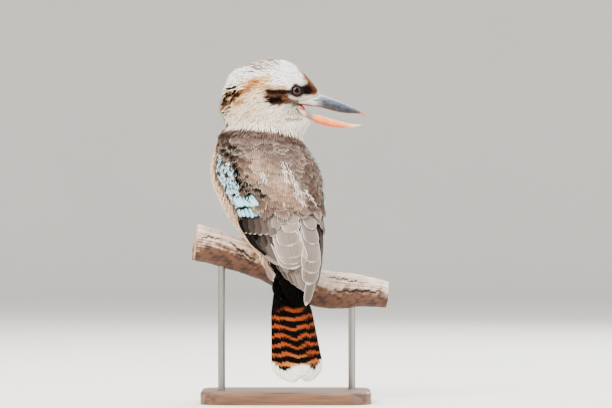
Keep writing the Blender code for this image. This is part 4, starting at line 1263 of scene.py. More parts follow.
@dataclass
class SoftCoat:
    """The soft feathers of head, neck, breast, belly and mantle, rooted all over the skin."""

    skin: Skin
    markings: Markings
    eye_clear: float = 7.6  # from the eyes' middles, where nothing grows
    head_half: float = 12.0  # from the head's middle plane to its sides
    barbs: int = 8
    crest_rise: tuple = (-0.5, 0.0, 0.45)
    crest_seed: int = 77
    pale_rim: str = "#F2E6DA"

    def lie(self, places: Array, _: Array) -> Array:
        """Find the way that the coat lies: back from the bill, down the nape and the trunk.

        Args:
            places: the places.
            _: the outward directions there, which don't matter here.

        Returns:
            The ways, of length 1.
        """
        above = ease(self.markings.shape.collar(places) / 22 - 0.1)[..., None]
        rear = ease((-18 - places[..., 0]) / 45)
        low = ease((338 - places[..., 2]) / 26)
        fall = np.maximum(rear * 0.75, low * 0.9)
        beak = np.stack([-1 + 0.5 * fall, 0 * fall, -0.12 - 1.05 * fall], axis=-1)
        return unit(beak * above + np.array([0, 0, -1.0]) * (1 - above))

    def comb(
        self, growth: Growth, draw: np.random.Generator, rooted: tuple, long: Array, high: Array, stray: float
    ) -> tuple[Array, Array]:
        """Lead unevenly long feathers over the skin.

        Args:
            growth: how they grow.
            draw: their draw.
            rooted: their places on the skin, and the outward directions there.
            long: their lengths before the draw.
            high: how high their tips lie before the draw.
            stray: how far their directions differ.

        Returns:
            Middle lines and outward directions, feathers by rows by 3.
        """
        count = len(rooted[0])
        lengths = long * varied(draw, growth.uneven, count, 2)
        lifts = high * varied(draw, growth.uneven, count, 2)
        strays = draw.normal(size=(count, 3)) * stray
        return self.skin.comb(*rooted, lengths, growth.rows, self.lie, strays, lifts)

    def strands(self, plumes: Plumes, zone: Zone, growth: Growth) -> None:
        """Fill part of the skin with fine tapered tufts, shorter at the bill and round the eyes.

        Args:
            plumes: where they go.
            zone: the part.
            growth: how they grow.
        """
        draw = np.random.default_rng(growth.seed)
        found = self.skin.scatter(growth.spacing, zone, growth.seed)
        x, y, height = found[0].T
        away = np.hypot(x - EYE[0], height - EYE[1])
        away = np.where(np.abs(y - HEAD_MIDDLE) > self.head_half, away, ANY)
        keep = away > self.eye_clear
        roots, normals, flat = (values[keep] for values in found)
        away = away[keep] - self.eye_clear
        beak = ease((roots[:, 0] - 12) / 16) * ease(self.markings.shape.collar(roots) / 10)
        short = (1 - 0.62 * beak) * (0.45 + 0.55 * ease(away / 7))
        high = growth.lift * (1 - 0.7 * beak) * (0.35 + 0.65 * ease(away / 8))
        lines, outs = self.comb(growth, draw, (roots, normals), growth.length * short, high, 0.1)
        shares = np.linspace(0, 1, growth.rows)
        shape = np.interp(shares, [0, 0.45, 0.8, 1.0], [0.8, 1.0, 0.7, 0.1])
        widths = growth.width / 2 * (0.7 + 0.3 * short)[:, None] * shape
        tone = varied(draw, growth.mottle, (len(roots), 1), 2)
        own = self.markings.everywhere(lines[:, int(growth.rows * 0.7)])
        tints = (linear(growth.colour) if growth.colour else own) * tone
        # Each tuft is painted darker at its root and slightly lighter at its tip: painted shade among the
        # roots and painted light on the tips.
        root_shade = np.interp(shares, [0, 0.5, 1.0], [0.85, 0.98, 1.04])[:, None, None]
        plumes.add(lines, outs, widths, widths * 0.45, STRAND, tints[:, None, None] * root_shade, flat)

    def rooted(self, zone: Zone, growth: Growth, stray: float, low: float = 0.0) -> tuple:
        """Root whole feathers on part of the skin.

        Args:
            zone: the part.
            growth: how they grow.
            stray: how far their directions differ.
            low: how much higher the tips lie at the part's lower edge.

        Returns:
            The draw, middle lines, outward directions and places on the bake map.
        """
        draw = np.random.default_rng(growth.seed)
        roots, normals, flat = self.skin.scatter(growth.spacing, zone, growth.seed)
        high = growth.lift + low * ease((244 - roots[:, 2]) / 18)
        return draw, *self.comb(growth, draw, (roots, normals), growth.length, high, stray), flat

    def small_coverts(self, plumes: Plumes, zone: Zone, growth: Growth) -> None:
        """Fill a wing's shoulder with small rounded feathers, dark with pale blue tips.

        Args:
            plumes: where they go.
            zone: the part.
            growth: how they grow.
        """
        draw, lines, outs, flat = self.rooted(zone, growth, 0.07)
        one, shares = (len(lines), 1), np.linspace(0, 1, growth.rows)
        shape = np.interp(shares, [0, 0.25, 0.5, 0.72, 0.86, 0.95, 1], [0.3, 0.72, 0.95, 1, 0.82, 0.5, 0.14])
        widths = growth.width / 2 * varied(draw, 0.1, one) * shape
        seen = lines[:, 5]
        base = self.markings.shoulder(seen) * varied(draw, 0.1, one, 1.5)
        blue, amount = self.markings.blue_tips(seen, draw)
        spot = ease((shares[:, None] - 0.45) / 0.2) * (1 - 0.7 * ease((np.abs(PLATE[:, 0]) - 0.75) / 0.2))
        tints = mix(base[:, None, None], blue[:, None, None], spot * amount[:, None, None])
        plumes.add(lines, outs, widths, 0.5 * shape**0.5 * np.ones(one), PLATE, tints, flat)

    def fans(self, plumes: Plumes, zone: Zone, growth: Growth) -> None:
        """Fill the mantle with soft contour feathers, each a fan of loose barbs with a pale rim.

        Args:
            plumes: where they go.
            zone: the part.
            growth: how they grow.
        """
        draw, shafts, outs, flat = self.rooted(zone, growth, 0.08, 3.4)
        count, rows, barbs = len(shafts), growth.rows, self.barbs
        aside = unit(np.cross(outs, np.gradient(shafts, axis=1)))
        shares, turn = np.linspace(0, 1, rows), np.linspace(-1, 1, barbs)
        reach = (1 - 0.24 * turn**2) + 0.05 * draw.normal(size=(count, barbs))
        at = np.clip(reach[..., None] * shares * (rows - 1), 0, rows - 1.001)
        below = at.astype(int)
        over = (at - below)[..., None]
        which = np.arange(count)[:, None, None]

        def along(values: Array) -> Array:
            """Values at each barb's places on its shaft."""
            return values[which, below] * (1 - over) + values[which, below + 1] * over

        half = growth.width / 2 * varied(draw, 0.1, (count, 1, 1, 1))
        spread = np.interp(shares, [0, 0.35, 0.7, 1.0], [0.12, 0.62, 0.95, 1.0])[:, None]
        bent = turn[:, None, None]
        ups = along(outs)
        lines = along(shafts) + along(aside) * bent * half * spread - ups * 0.9 * bent**2 * spread
        shape = np.interp(shares, [0, 0.5, 0.85, 1.0], [0.7, 1.0, 0.8, 0.2])
        widths = half[..., 0] / barbs * 1.7 * shape * np.ones((count, barbs, 1))
        base = self.markings.everywhere(shafts[:, 4]) * varied(draw, 0.1, (count, 1), 1.5)
        pale = mix(base, self.pale_rim, draw.uniform(0.2, 0.75, size=count) ** 1.2)
        dark = base * draw.uniform(0.5, 0.78, size=(count, 1))
        away = np.abs(turn)[:, None]
        band = np.exp(-(((shares - 0.62) / 0.18) ** 2)) * (1 - 0.5 * away)
        edge = np.maximum(ease((shares - 0.78) / 0.12), 0.35 * ease((away - 0.7) / 0.3))
        tints = layered(base[:, None, None], (dark[:, None, None], band), (pale[:, None, None], edge))
        tints = tints * varied(draw, 0.06, (count, barbs, 1, 1))
        lines, ups, tints = (values.reshape(count * barbs, rows, -1) for values in (lines, ups, tints))
        widths = widths.reshape(-1, rows)
        flat = np.repeat(flat, barbs, axis=0)
        plumes.add(lines, ups, widths, widths * 0.3, STRAND, tints[:, :, None], flat)

    def crest(self, plumes: Plumes) -> None:
        """Add loose longer tufts at the back of the crown, some rufous or dark, that stand off the head.

        Args:
            plumes: where they go.
        """
        draw = np.random.default_rng(self.crest_seed)
        for part in CREST_PARTS:
            growth = part.growth
            roots, normals, flat = self.skin.scatter(growth.spacing, part.zone, growth.seed)
            count, shares = len(roots), np.linspace(0, 1, growth.rows)
            stray = draw.normal(size=(count, 3)) * 0.12 + self.crest_rise
            lengths = growth.length * draw.uniform(0.7, 1.2, count)
            lifts = growth.lift * draw.uniform(0.5, 1.1, count)
            lines, outs = self.skin.comb(roots, normals, lengths, growth.rows, self.lie, stray, lifts)
            lines = lines + outs * (shares**2 * 1.6)[:, None]
            shape = growth.width / 2 * np.interp(shares, [0, 0.5, 1.0], [1.0, 0.89, 0.09])
            widths = shape * draw.uniform(0.7, 1.1, (count, 1))
            table = np.array([linear(colour) for colour in part.colours])
            tints = table[draw.integers(0, len(table), count)][:, None, None]
            plumes.add(lines, outs, widths, widths * 0.5, STRAND, tints, flat)

    def build(self) -> None:
        """Make the soft coat's pieces."""
        soft = (
            ("head_feathers", "feather_white", HEAD, Growth(1.2, 7.0, 1.15, 11, 4, 1.7, 0.2)),
            ("nape_feathers", "feather_white", NAPE, Growth(1.35, 9.5, 1.25, 12, 5, 2.3, 0.2)),
            ("neck_feathers", "feather_white", NECK, Growth(1.35, 10.5, 1.6, 13, 5, 4.2, 0.12)),
            ("breast_feathers", "feather_cream", BREAST, Growth(1.9, 12.0, 1.9, 14, 5, 3.0, 0.15)),
            ("belly_feathers", "feather_cream", BELLY, Growth(2.0, 12.0, 2.2, 15, 5, 3.2, 0.3)),
        )
        for name, slot, zone, growth in soft:
            plumes = Plumes(name)
            self.strands(plumes, zone, growth)
            if zone is NAPE:
                self.crest(plumes)
            finish_piece(plumes.build(), DownFinish().build())
        mantle, small, rump = Plumes("mantle_feathers"), Plumes("small_coverts"), Plumes("rump_feathers")
        self.fans(mantle, MANTLE, Growth(4.5, 19.0, 13.5, 16, 6, 3.2))
        self.strands(mantle, STREAKS, Growth(1.25, 9.5, 1.0, 18, 5, 5.2, 0.25, 0.08, STREAK_COLOUR))
        # Near-black tufts along the mantle's lower edge: painted shadow in the gap between the mantle and the
        # wing's coverts.
        self.strands(mantle, GAP, Growth(1.5, 7.0, 1.6, 19, 5, 4.6, 0.2, 0.2, "#0A0706"))
        # Near-black rump tufts: painted shade under the wings' tips over the tail's root.
        self.strands(rump, RUMP, Growth(2.2, 10.0, 2.6, 20, 5, 1.0, 0.2, 0.2, "#0B0807"))
        self.small_coverts(small, SHOULDER, Growth(2.6, 10.5, 4.6, 17, 7, 2.2))
        for plumes in (mantle, small, rump):
            finish_piece(plumes.build(), VaneFinish().build())


@dataclass(frozen=True)
class WingRow:
    """One row of a folded wing's feathers in the wing's own chart, from its first feather to its last."""

    roots: tuple  # heights over the floor
    tips: tuple
    root_shares: tuple  # 0 at the wing's front edge and 1 at its inner edge
    tip_shares: tuple
    count: int
    widths: tuple
    lifts: tuple
    colours: tuple  # the first feather's, the last feather's and the fringe's
    inner_web: float = 0.2  # how dark the inner web is
    rim: float = 1.0  # how clear the fringe is along the sides
    form: str = "pointed"
    side: Side | None = None


WING_ROWS = (
    # Outer primaries.
    WingRow(
        (212, 214), (176, 164), (0.02, 0.14), (0.05, 0.26), 4, (9, 9), (0.5, 0.8),
        ("#0F0B0A", "#1A1412", "#2B2320"),
    ),
    # Primary tips.
    WingRow(
        (196, 192), (147, 139, 132, 128, 126), (0.3, 0.7), (0.60, 0.96), 5, (12, 12),
        (0.3, 0.9), ("#1B1614", "#857871", "#A99E97"), 0.3, side=Side.LEFT,
    ),
    # Primary tips.
    WingRow(
        (196, 192), (140, 112), (0.3, 0.8), (0.60, 1.02), 6, (12, 11), (0.3, 0.9),
        ("#3A332F", "#857871", "#A99E97"), 0.3, side=Side.RIGHT,
    ),
    # Secondaries.
    WingRow(
        (212, 216), (180, 170, 161, 153, 147), (0.16, 0.56), (0.28, 0.32, 0.42, 0.53, 0.64), 6,
        (12, 13), (0.9, 1.6), ("#0F0C0B", "#7E746E", "#8B827C"), 0.7, 0.45,
    ),
    # Tertials.
    WingRow(
        (198, 218), (150.6, 154.5, 162, 176, 191, 200), (0.66, 0.86),
        (0.80, 0.79, 0.76, 0.77, 0.86, 0.90), 6, (31, 31, 32, 27, 20, 16), (1.4, 2.6),
        ("#877B74", "#988C85", "#E4DDD7"), 0.15, form="blunt", side=Side.LEFT,
    ),
    # Tertials.
    WingRow(
        (190, 216), (110, 134, 145, 157, 176, 196), (0.86, 0.96),
        (1.0, 1.02, 1.0, 0.98, 0.94, 0.9), 6, (13, 24, 27, 28, 24, 18), (1.4, 2.6),
        ("#877B74", "#988C85", "#E4DDD7"), 0.15, form="blunt", side=Side.RIGHT,
    ),
    # Greater coverts.
    WingRow(
        (218, 220), (189, 187), (0.06, 0.52), (0.08, 0.56), 6, (10, 12), (2.0, 2.4),
        ("#0D0A09", "#756A64", "#C3B8B1"), 0.3, 0.15,
    ),
    # Inner coverts.
    WingRow(
        (222, 216), (190, 200), (0.62, 0.80), (0.52, 0.72), 3, (11, 11), (2.2, 2.8),
        ("#7F746D", "#8A7F78", "#CFC6C0"), 0.1, form="blunt",
    ),
    # Flank tufts.
    WingRow(
        (174, 166), (153, 142, 139, 138), (0.0, 0.04), (0.53, 0.39, 0.36, 0.32), 4,
        (4.2, 6.6), (2.6, 3.8), ("#94847D", "#887972", "#CFC1BA"), 0.3, 0.5, "blunt",
    ),
    # Lower blue coverts.
    WingRow(
        (226, 228), (207, 208), (0.16, 0.56), (0.14, 0.46), 6, (6.4, 6.4), (2.6, 3.0),
        ("#2A1F19", "#2A1F19", "#92CFE2"), 0.3, form="blue tip",
    ),
    # Upper blue coverts.
    WingRow(
        (240, 242), (219, 220), (0.28, 0.8), (0.26, 0.62), 7, (6.6, 6.6), (3.0, 3.4),
        ("#2A1F19", "#2A1F19", "#9FD8E8"), 0.3, form="blue tip",
    ),
)

# Shares of a vane's length, and its width there.
VANE_FORMS = {
    "pointed": ((0, 0.5, 0.84, 0.93, 0.975, 1.0), (0.62, 1.0, 0.92, 0.75, 0.5, 0.12)),
    "blunt": ((0, 0.3, 0.76, 0.88, 0.95, 0.985, 1.0), (0.55, 0.95, 1.0, 0.86, 0.6, 0.36, 0.14)),
    "blue tip": ((0, 0.5, 0.84, 0.95, 1.0), (0.6, 1.0, 1.0, 0.8, 0.3)),
}


@dataclass
class Wings:
    """Both folded wings: primaries under secondaries, stacked tertials and rows of coverts."""

    shape: BodyShape
    surface: float = 1.2  # the rows' own level inside the outline
    sunk: float = 1.8
    rows_along: int = 18
    blue_length: float = 0.5  # share of a blue covert's length that its tip takes up
    blue_white: str = "#E8F3F6"
    seeds: dict = field(default_factory=lambda: {Side.LEFT: 100, Side.RIGHT: 150})

    def row(self, plumes: Plumes, side: Side, row: WingRow, order: int) -> None:
        """Lay one row of feathers on one wing.

        Args:
            plumes: where they go.
            side: which wing.
            row: the row.
            order: the row's number, which fixes its draw.
        """
        draw = np.random.default_rng(self.seeds[side] + order)
        shares = np.linspace(0, 1, row.count)
        along = np.linspace(0, 1, self.rows_along)

        def spread(values: tuple) -> Array:
            """A value for each feather, from the row's first to its last."""
            return np.interp(shares, np.linspace(0, 1, len(values)), values)[:, None]

        tips = spread(row.tips) + draw.normal(size=(row.count, 1)) * 0.7
        height = spread(row.roots) + (tips - spread(row.roots)) * along
        place = spread(row.root_shares) + (spread(row.tip_shares) - spread(row.root_shares)) * along
        front, inner = self.shape.wing_edge(height)
        angle = front + (inner - front) * place
        rise = -self.surface - self.sunk + (spread(row.lifts) + self.sunk) * ease(along * 1.15)
        lines = self.shape.outline(height, angle, rise)
        outs = unit(self.shape.outline(height, angle, rise + 1.0) - lines)
        profile = np.interp(along, *VANE_FORMS[row.form])
        widths = spread(row.widths) / 2 * profile * (1 + 0.04 * draw.normal(size=(row.count, 1)))
        if side is Side.RIGHT:
            start = self.shape.start
            lines, outs = self.shape.mirrored(lines), self.shape.mirrored(outs + start) - start
        thick = 0.6 * profile**0.5 * np.ones((row.count, 1))
        left = 0.02 + 0.9 * shares * (row.count - 1) / row.count
        flat = np.stack([left, 0 * left + order / len(WING_ROWS) + 0.01], axis=-1)
        patch = (0.8 / row.count, 0.9 / len(WING_ROWS))
        plumes.add(lines, outs, widths, thick, VANE, self.tints(row, along, draw, side), flat, patch)

    def tints(self, row: WingRow, along: Array, draw: np.random.Generator, side: Side) -> Array:
        """Colours over each vane of a row.

        Args:
            row: the row.
            along: shares of a vane's length.
            draw: the row's draw.
            side: which wing.

        Returns:
            Linear colours, feathers by rows by corners by 3.
        """
        one = (row.count, 1, 1)
        first, last, fringe = row.colours
        base = mix(linear(first), last, np.linspace(0, 1, row.count))
        base = (base * (1 + 0.06 * draw.normal(size=(row.count, 1))))[:, None, None]
        across, run = VANE[:, 0] * -side.value, along[:, None]
        shade = 0.35 * ease((0.35 - run) / 0.3)
        web = ease((across - 0.05) / 0.3) * row.inner_web * (1 - ease((run - 0.9) / 0.05))
        base = base * ((1 - shade) * (1 - 0.75 * web))[..., None]
        away = np.abs(across)
        if row.form == "blue tip":
            reach = 1 - self.blue_length * draw.uniform(0.8, 1.1, one)
            edge = ease((run - reach) / 0.1) * (1 - 0.9 * ease((away - 0.66) / 0.12))
            edge = edge * (1 - 0.5 * ease((run - 0.95) / 0.04)) * draw.uniform(0.8, 1.0, one)
            return mix(base, mix(linear(fringe), self.blue_white, draw.uniform(0, 0.4, one)), edge)
        edge = np.maximum(row.rim * ease((away - 0.92) / 0.04), ease((run - 0.972) / 0.018))
        return mix(base, fringe, edge)

    def build(self) -> None:
        """Make both wings' vanes."""
        for side in Side:
            plumes = Plumes(f"wing_vanes_{side.word}")
            for order, row in enumerate(WING_ROWS):
                if row.side in (None, side):
                    self.row(plumes, side, row, order)
            finish_piece(plumes.build(), VaneFinish().build())


@dataclass
class Tail:
    """The closed tail: twelve barred feathers under the middle pair, and the coverts at its root."""

    shape: BodyShape
    root: tuple = (-6.0, 0.0, 172.0)  # forward, leftward, height
    lean: float = math.radians(9.3)
    length: float = 150.0
    feathers: int = 12
    width: float = 25.0
    half_fan: float = math.radians(6.2)
    thick: float = 0.9
    step: float = 1.15
    root_half: float = 8.0
    outer_shorter: float = 9.0
    notch: tuple = (9.0, 0.5)
    swing: float = 0.019
    camber: float = 0.8
    bar: float = 10.2  # from one dark bar to the next
    rows: int = 120
    buried: float = 0.16  # share of a feather's length that its coverts hide
    vane_seed: int = 300
    covert_seed: int = 340
    rufous: str = "#965430"
    buff: str = "#CF9A62"
    black: str = "#080504"
    white: str = "#ECE7DF"
    tip_edge: str = "#8F8177"
    covert_count: int = 520
    # near-black upper side of the coverts: painted shade over the tail's root
    covert_shade: str = "#120D0B"
    covert_pale: str = "#DCCDBC"
    # Distance down the tail, half width and half depth of the coverts' bundle.
    core: tuple = (
        (-6, 4, 3.5), (4, 9, 7), (20, 13, 8.5), (31, 18, 8), (42, 23, 6.8), (50, 21, 5.6), (55, 17, 4.6),
    )
    core_forward: float = 2.6

    def axes(self) -> tuple[Array, Array, Array, Array]:
        """Find the tail's own directions.

        Returns:
            The tail's root, and its directions down, to the bird's left and out of its upper side.
        """
        shape = self.shape
        forward, leftward, height = self.root
        start = shape.start + forward * shape.forward + leftward * shape.leftward + np.array([0, 0, height])
        down = -np.array([0, 0, 1.0]) * math.cos(self.lean) - shape.forward * math.sin(self.lean)
        down = unit(down - shape.leftward * self.swing)
        aside = unit(shape.leftward - shape.leftward @ down * down)
        back = np.cross(aside, down)
        return start, down, aside, back if back @ shape.forward < 0 else -back

    def vane(self, plumes: Plumes, order: int) -> None:
        """Lay one tail feather.

        Args:
            plumes: where it goes.
            order: its number from the fan's right edge.
        """
        place = -1 + 2 * order / (self.feathers - 1)
        start, down, aside, back = self.axes()
        level = -abs(place) * (self.feathers - 1) / 2 * self.step
        turn = place * self.half_fan
        along = down * math.cos(turn) + aside * math.sin(turn)
        deep, wide = self.notch
        length = self.length - self.outer_shorter * place**2 - deep * (1 - ease(abs(place) / wide))
        start = start + aside * place * self.root_half + back * level
        run = np.linspace(self.buried, 1.0, self.rows)
        reach = (run * length)[:, None]
        lines = (start + reach * along - back * self.thick)[None]
        outs = np.broadcast_to(back, lines.shape)
        knots = [self.buried, 0.22, 0.5, 0.9, 0.96, 0.99, 1.0]
        shape = np.interp(run, knots, [0.3, 0.42, 0.9, 0.94, 0.8, 0.5, 0.2])
        widths = (shape * self.width / 2)[None]
        thick = np.full_like(widths, self.thick + self.camber * 0.6)
        tints = self.bars(order, place, run[:, None], reach, length)
        flat = np.array([[0.02 + 0.96 * order / self.feathers, 0.02]])
        plumes.add(lines, outs, widths, thick, VANE, tints[None], flat, (0.9 / self.feathers, 0.96))

    def bars(self, order: int, place: float, run: Array, reach: Array, length: float) -> Array:
        """Colours over one tail feather: rufous and black bars, black near the root as painted shade, and a
        white tip.

        Args:
            order: the feather's number.
            place: from -1 at the fan's right edge to 1 at its left.
            run: shares of its length.
            reach: distances along it.
            length: its length.

        Returns:
            Linear colours, rows by corners by 3.
        """
        draw = np.random.default_rng(self.vane_seed + order)
        across = VANE[:, 0]
        wave = 1.0 * np.sin(run * 17 + 2.5 * across + 0.8 * order) + draw.uniform(-1.0, 1.0)
        distance = reach + 3.4 * np.abs(across) ** 1.5 + wave
        bars = np.sin(distance * FULL_TURN / self.bar) + 0.4 + 0.3 * np.sin(run * 9 + 1.3 * order)
        # Black near the root, under the coverts and the wings' tips: painted shade.
        shaded_root = 1 - ease((reach - 58 - 10 * abs(place)) / 12)
        bars = np.maximum(ease(bars / 0.5 + 0.5), 0.97 * shaded_root)
        warm = mix(linear(self.rufous), self.buff, 0.6 * ease((run - 0.8) / 0.12))
        tints = mix(warm, self.black, bars)
        tip = ease((reach - (length - 13 - 3 * abs(place)) + wave) / 3.0)
        tints = mix(mix(tints, self.white, tip), self.tip_edge, 0.7 * tip * (np.abs(across) > 0.95))
        outer = ease((across * -np.sign(place) - 0.86) / 0.1) * (1 - ease((reach - 70) / 20))
        return mix(tints, self.white, outer * (abs(place) > 0.95))

    def coverts(self, plumes: Plumes) -> None:
        """Lay rows of short feathers over the tail's root, near-black above as painted shade and cream under
        it.

        Args:
            plumes: where they go.
        """
        draw = np.random.default_rng(self.covert_seed)
        start, down, aside, back = self.axes()
        count, share = self.covert_count, np.linspace(0, 1, 7)
        turns = draw.uniform(0, FULL_TURN, count)
        begin = draw.uniform(-6, 40, count)
        reach = begin[:, None] + draw.uniform(14, 20, count)[:, None] * share
        half, tall = np.moveaxis(smooth_rows(self.core, reach), -1, 0) * (1 - 0.25 * ease((reach - 50) / 12))
        rise = -1.5 + 2.2 * share
        sides = (np.cos(turns)[:, None] * (half + 0.4 + rise))[..., None] * aside
        ring = sides + (np.sin(turns)[:, None] * (tall + rise))[..., None] * back
        lines = start + reach[..., None] * down - back * self.core_forward + ring
        shape = np.interp(share, [0, 0.3, 0.7, 0.9, 1], [0.5, 0.9, 1.0, 0.6, 0.12])
        widths = 3.2 * shape * np.ones((count, 1))
        # The upper side is painted near-black as shade; the cream under side is the coverts' own colour.
        dark = linear(self.covert_shade) * (1 + 0.3 * draw.uniform(-1, 1, (count, 1)))
        pale = linear(self.covert_pale) * (1 + 0.08 * draw.uniform(-1, 1, (count, 1)))
        tints = mix(pale, dark, ease((np.sin(turns) + 0.75) / 0.3))[:, None, None]
        flat = np.stack([draw.random(count), draw.random(count)], axis=-1) * 0.99
        plumes.add(lines, unit(ring), widths, np.full_like(widths, 0.8), PLATE, tints, flat)

    def build(self) -> None:
        """Make the tail feathers and the coverts round the tail's root, painted near-black above as shade."""
        vanes, coverts = Plumes("tail_feathers"), Plumes("tail_coverts")
        for order in range(self.feathers):
            self.vane(vanes, order)
        self.coverts(coverts)
        finish_piece(vanes.build(), VaneFinish().build(), ("tail",))
        finish_piece(coverts.build(), DownFinish().build())


@dataclass(frozen=True)
class HornFinish(Finish):
    """Keratin bill sheath, satin from growing in layers: fine lines run along it under a low gloss."""

    name: str = "bill keratin"
    line: float = 0.7  # between growth lines
    blotch: float = 3.85

    def make(self, board: NodeBoard) -> None:
        """Streak the tint along the bill and vary its gloss.

        Args:
            board: the material under way.
        """
        across = 1 / (self.line * MM)
        streaks = board.noise(board.stretched(board.place(), (60, across, across)), 0.6, 4.0)
        blotch = board.noise(board.place(), 1 / (self.blotch * MM), 3.0)
        streak_tone = board.ranged(streaks, 0.3, 0.7, 0.82, 1.14)
        tone = board.maths("MULTIPLY", streak_tone, board.ranged(blotch, 0.3, 0.7, 0.9, 1.08))
        even = {"Roughness": board.ranged(blotch, 0.3, 0.7, 0.3, 0.46), "IOR": 1.54}
        board.finish(board.scaled(board.tint(), tone), even, (streaks, 0.25, 0.2 * MM))

@dataclass(frozen=True)
class GlassEyeFinish(MottledFinish):
    """A taxidermist's glass eye: a painted iris behind a clear dome, very glossy."""

    name: str = "glass eye"
    grain: float = 1.11
    even: tuple = (
        ("Roughness", 0.06), ("Specular IOR Level", 0.08), ("Coat Weight", 0.05), ("Coat Roughness", 0.02),
    )


@dataclass(frozen=True)
class LidFinish(MottledFinish):
    """Bare lid and mouth skin, matt and finely wrinkled."""

    name: str = "lid skin"
    grain: float = 0.91
    detail: float = 3.0
    even: tuple = (("Roughness", 0.6), ("Specular IOR Level", 0.15))
    bump: float = 0.5


@dataclass(frozen=True)
class ClawFinish(MottledFinish):
    """Dark horn claw, polished by wear, a little paler at its root."""

    name: str = "claw horn"
    grain: float = 0.667
    tones: tuple = (0.75, 1.2)
    even: tuple = (("Roughness", 0.35), ("IOR", 1.54))


@dataclass(frozen=True)
class ScaleFinish(Finish):
    """Dry grey-brown foot skin, hard scutes with a low satin."""

    name: str = "foot skin"
    scale: float = 1.43  # from scute to scute

    def make(self, board: NodeBoard) -> None:
        """Darken and sink the lines between the scutes.

        Args:
            board: the material under way.
        """
        settings = {"Scale": 1 / (self.scale * MM), "feature": "DISTANCE_TO_EDGE"}
        cells = board.node("TexVoronoi", settings, {"Vector": board.place()})
        tone = board.ranged(cells.outputs["Distance"], 0.0, 0.12, 0.6, 1.05)
        board.finish(board.scaled(board.tint(), tone), {"Roughness": 0.55}, (tone, 0.4, 0.3 * MM))


@dataclass(frozen=True)
class WoodFinish(Finish):
    """Weathered bare branch: bleached pale grey-pink on top and rust-brown underneath, with painted shade
    that darkens the underside and the drying cracks.
    """

    name: str = "weathered branch"
    fibre: float = 0.9  # between fibres
    run: float = 25.7  # along a fibre

    def make(self, board: NodeBoard) -> None:
        """Draw fibres and blotches over the tint, along the grain map's millimetres.

        Args:
            board: the material under way.
        """
        grain = board.map("grain")
        long = board.stretched(grain, (1 / self.run, 1 / self.fibre, 1.0))
        fibres = board.noise(long, 1.0, 6.0, Roughness=0.65)
        blotch = board.ranged(board.noise(grain, 0.09, 5.0), 0.3, 0.7, 0.82, 1.12)
        tone = board.maths("MULTIPLY", board.ranged(fibres, 0.32, 0.68, 0.66, 1.2), blotch)
        board.finish(board.scaled(board.tint(), tone), {"Roughness": 0.82}, (fibres, 0.7, 0.6 * MM))


@dataclass(frozen=True)
class StandWoodFinish(Finish):
    """Oiled walnut base board: straight dark grain under a low satin."""

    name: str = "oiled walnut"
    ring: float = 7.0  # between growth rings
    pore: float = 0.56
    dark: str = "#3A2418"
    pale: str = "#7A5236"

    def make(self, board: NodeBoard) -> None:
        """Lay growth rings and pores along the board.

        Args:
            board: the material under way.
        """
        across, fine = 1 / (self.ring * MM), 1 / (self.pore * MM)
        rings = board.noise(board.stretched(board.place(), (8.0, across, across)), 1.0, 5.0, Distortion=0.6)
        pores = board.noise(board.stretched(board.place(), (60.0, fine, fine)), 1.0, 3.0)
        share = board.ranged(rings, 0.32, 0.7, 0.0, 1.0)
        ends = {6: (*linear(self.dark), 1), 7: (*linear(self.pale), 1)}
        wood = board.node("Mix", {"data_type": "RGBA", **ends}, {"Factor": share}).outputs[2]
        tone = board.ranged(pores, 0.35, 0.6, 0.7, 1.05)
        board.finish(board.scaled(wood, tone), {"Roughness": 0.42}, (pores, 0.2, 0.2 * MM))


@dataclass(frozen=True)
class RodFinish(Finish):
    """Brushed and darkened steel rod: fine lines round it soften its gloss."""

    name: str = "brushed steel"
    scratch: float = 0.25
    colour: str = "#8E8C88"

    def make(self, board: NodeBoard) -> None:
        """Vary the gloss in fine rings.

        Args:
            board: the material under way.
        """
        lines = board.noise(board.stretched(board.place(), (40.0, 40.0, 1 / (self.scratch * MM))), 1.0, 3.0)
        rough = board.ranged(lines, 0.3, 0.7, 0.28, 0.48)
        board.finish(None, {"Base Color": (*linear(self.colour), 1), "Metallic": 1.0, "Roughness": rough})


@dataclass(frozen=True)
class PaperFinish(Finish):
    """Studio backdrop paper: matt, with a hardly seen unevenness."""

    name: str = "studio paper"
    colour: str = "#DAD8D2"

    def make(self, board: NodeBoard) -> None:
        """Vary one colour with soft noise.

        Args:
            board: the material under way.
        """
        tone = board.ranged(board.noise(board.place(), 3.0, 2.0), 0.0, 1.0, 0.97, 1.02)
        plain = board.node("VectorMath", {"operation": "SCALE", 0: linear(self.colour)}, {"Scale": tone})
        board.finish(plain.outputs["Vector"], {"Roughness": 0.95})


def lofted(stations: tuple, powers: tuple, share: Array, turn: Array, middle: float) -> tuple:
    """Find places on oval sections along +X.

    Args:
        stations: rows of x, top, bottom and half width.
        powers: of the section's upper and lower half, 2 for ellipses, less for keeled and more for flat ones.
        share: from pole to pole.
        turn: round the section, from its right side.
        middle: y of the middle plane.

    Returns:
        x, y and height, and how far up and out each place lies in its section, from -1 to 1.
    """
    first, last = stations[0][0], stations[-1][0]
    x = first + (last - first) * share
    top, bottom, half = smooth_rows(stations, x).T
    closing = np.where((share <= 0) | (share >= 1), 0.0, 1.0)
    power = 2 / np.where(np.sin(turn) > 0, *powers)
    up = closing * np.sign(np.sin(turn)) * np.abs(np.sin(turn)) ** power
    out = closing * np.sign(np.cos(turn)) * np.abs(np.cos(turn)) ** power
    return x, middle + out * half, (top + bottom) / 2 + up * (top - bottom) / 2, up, out


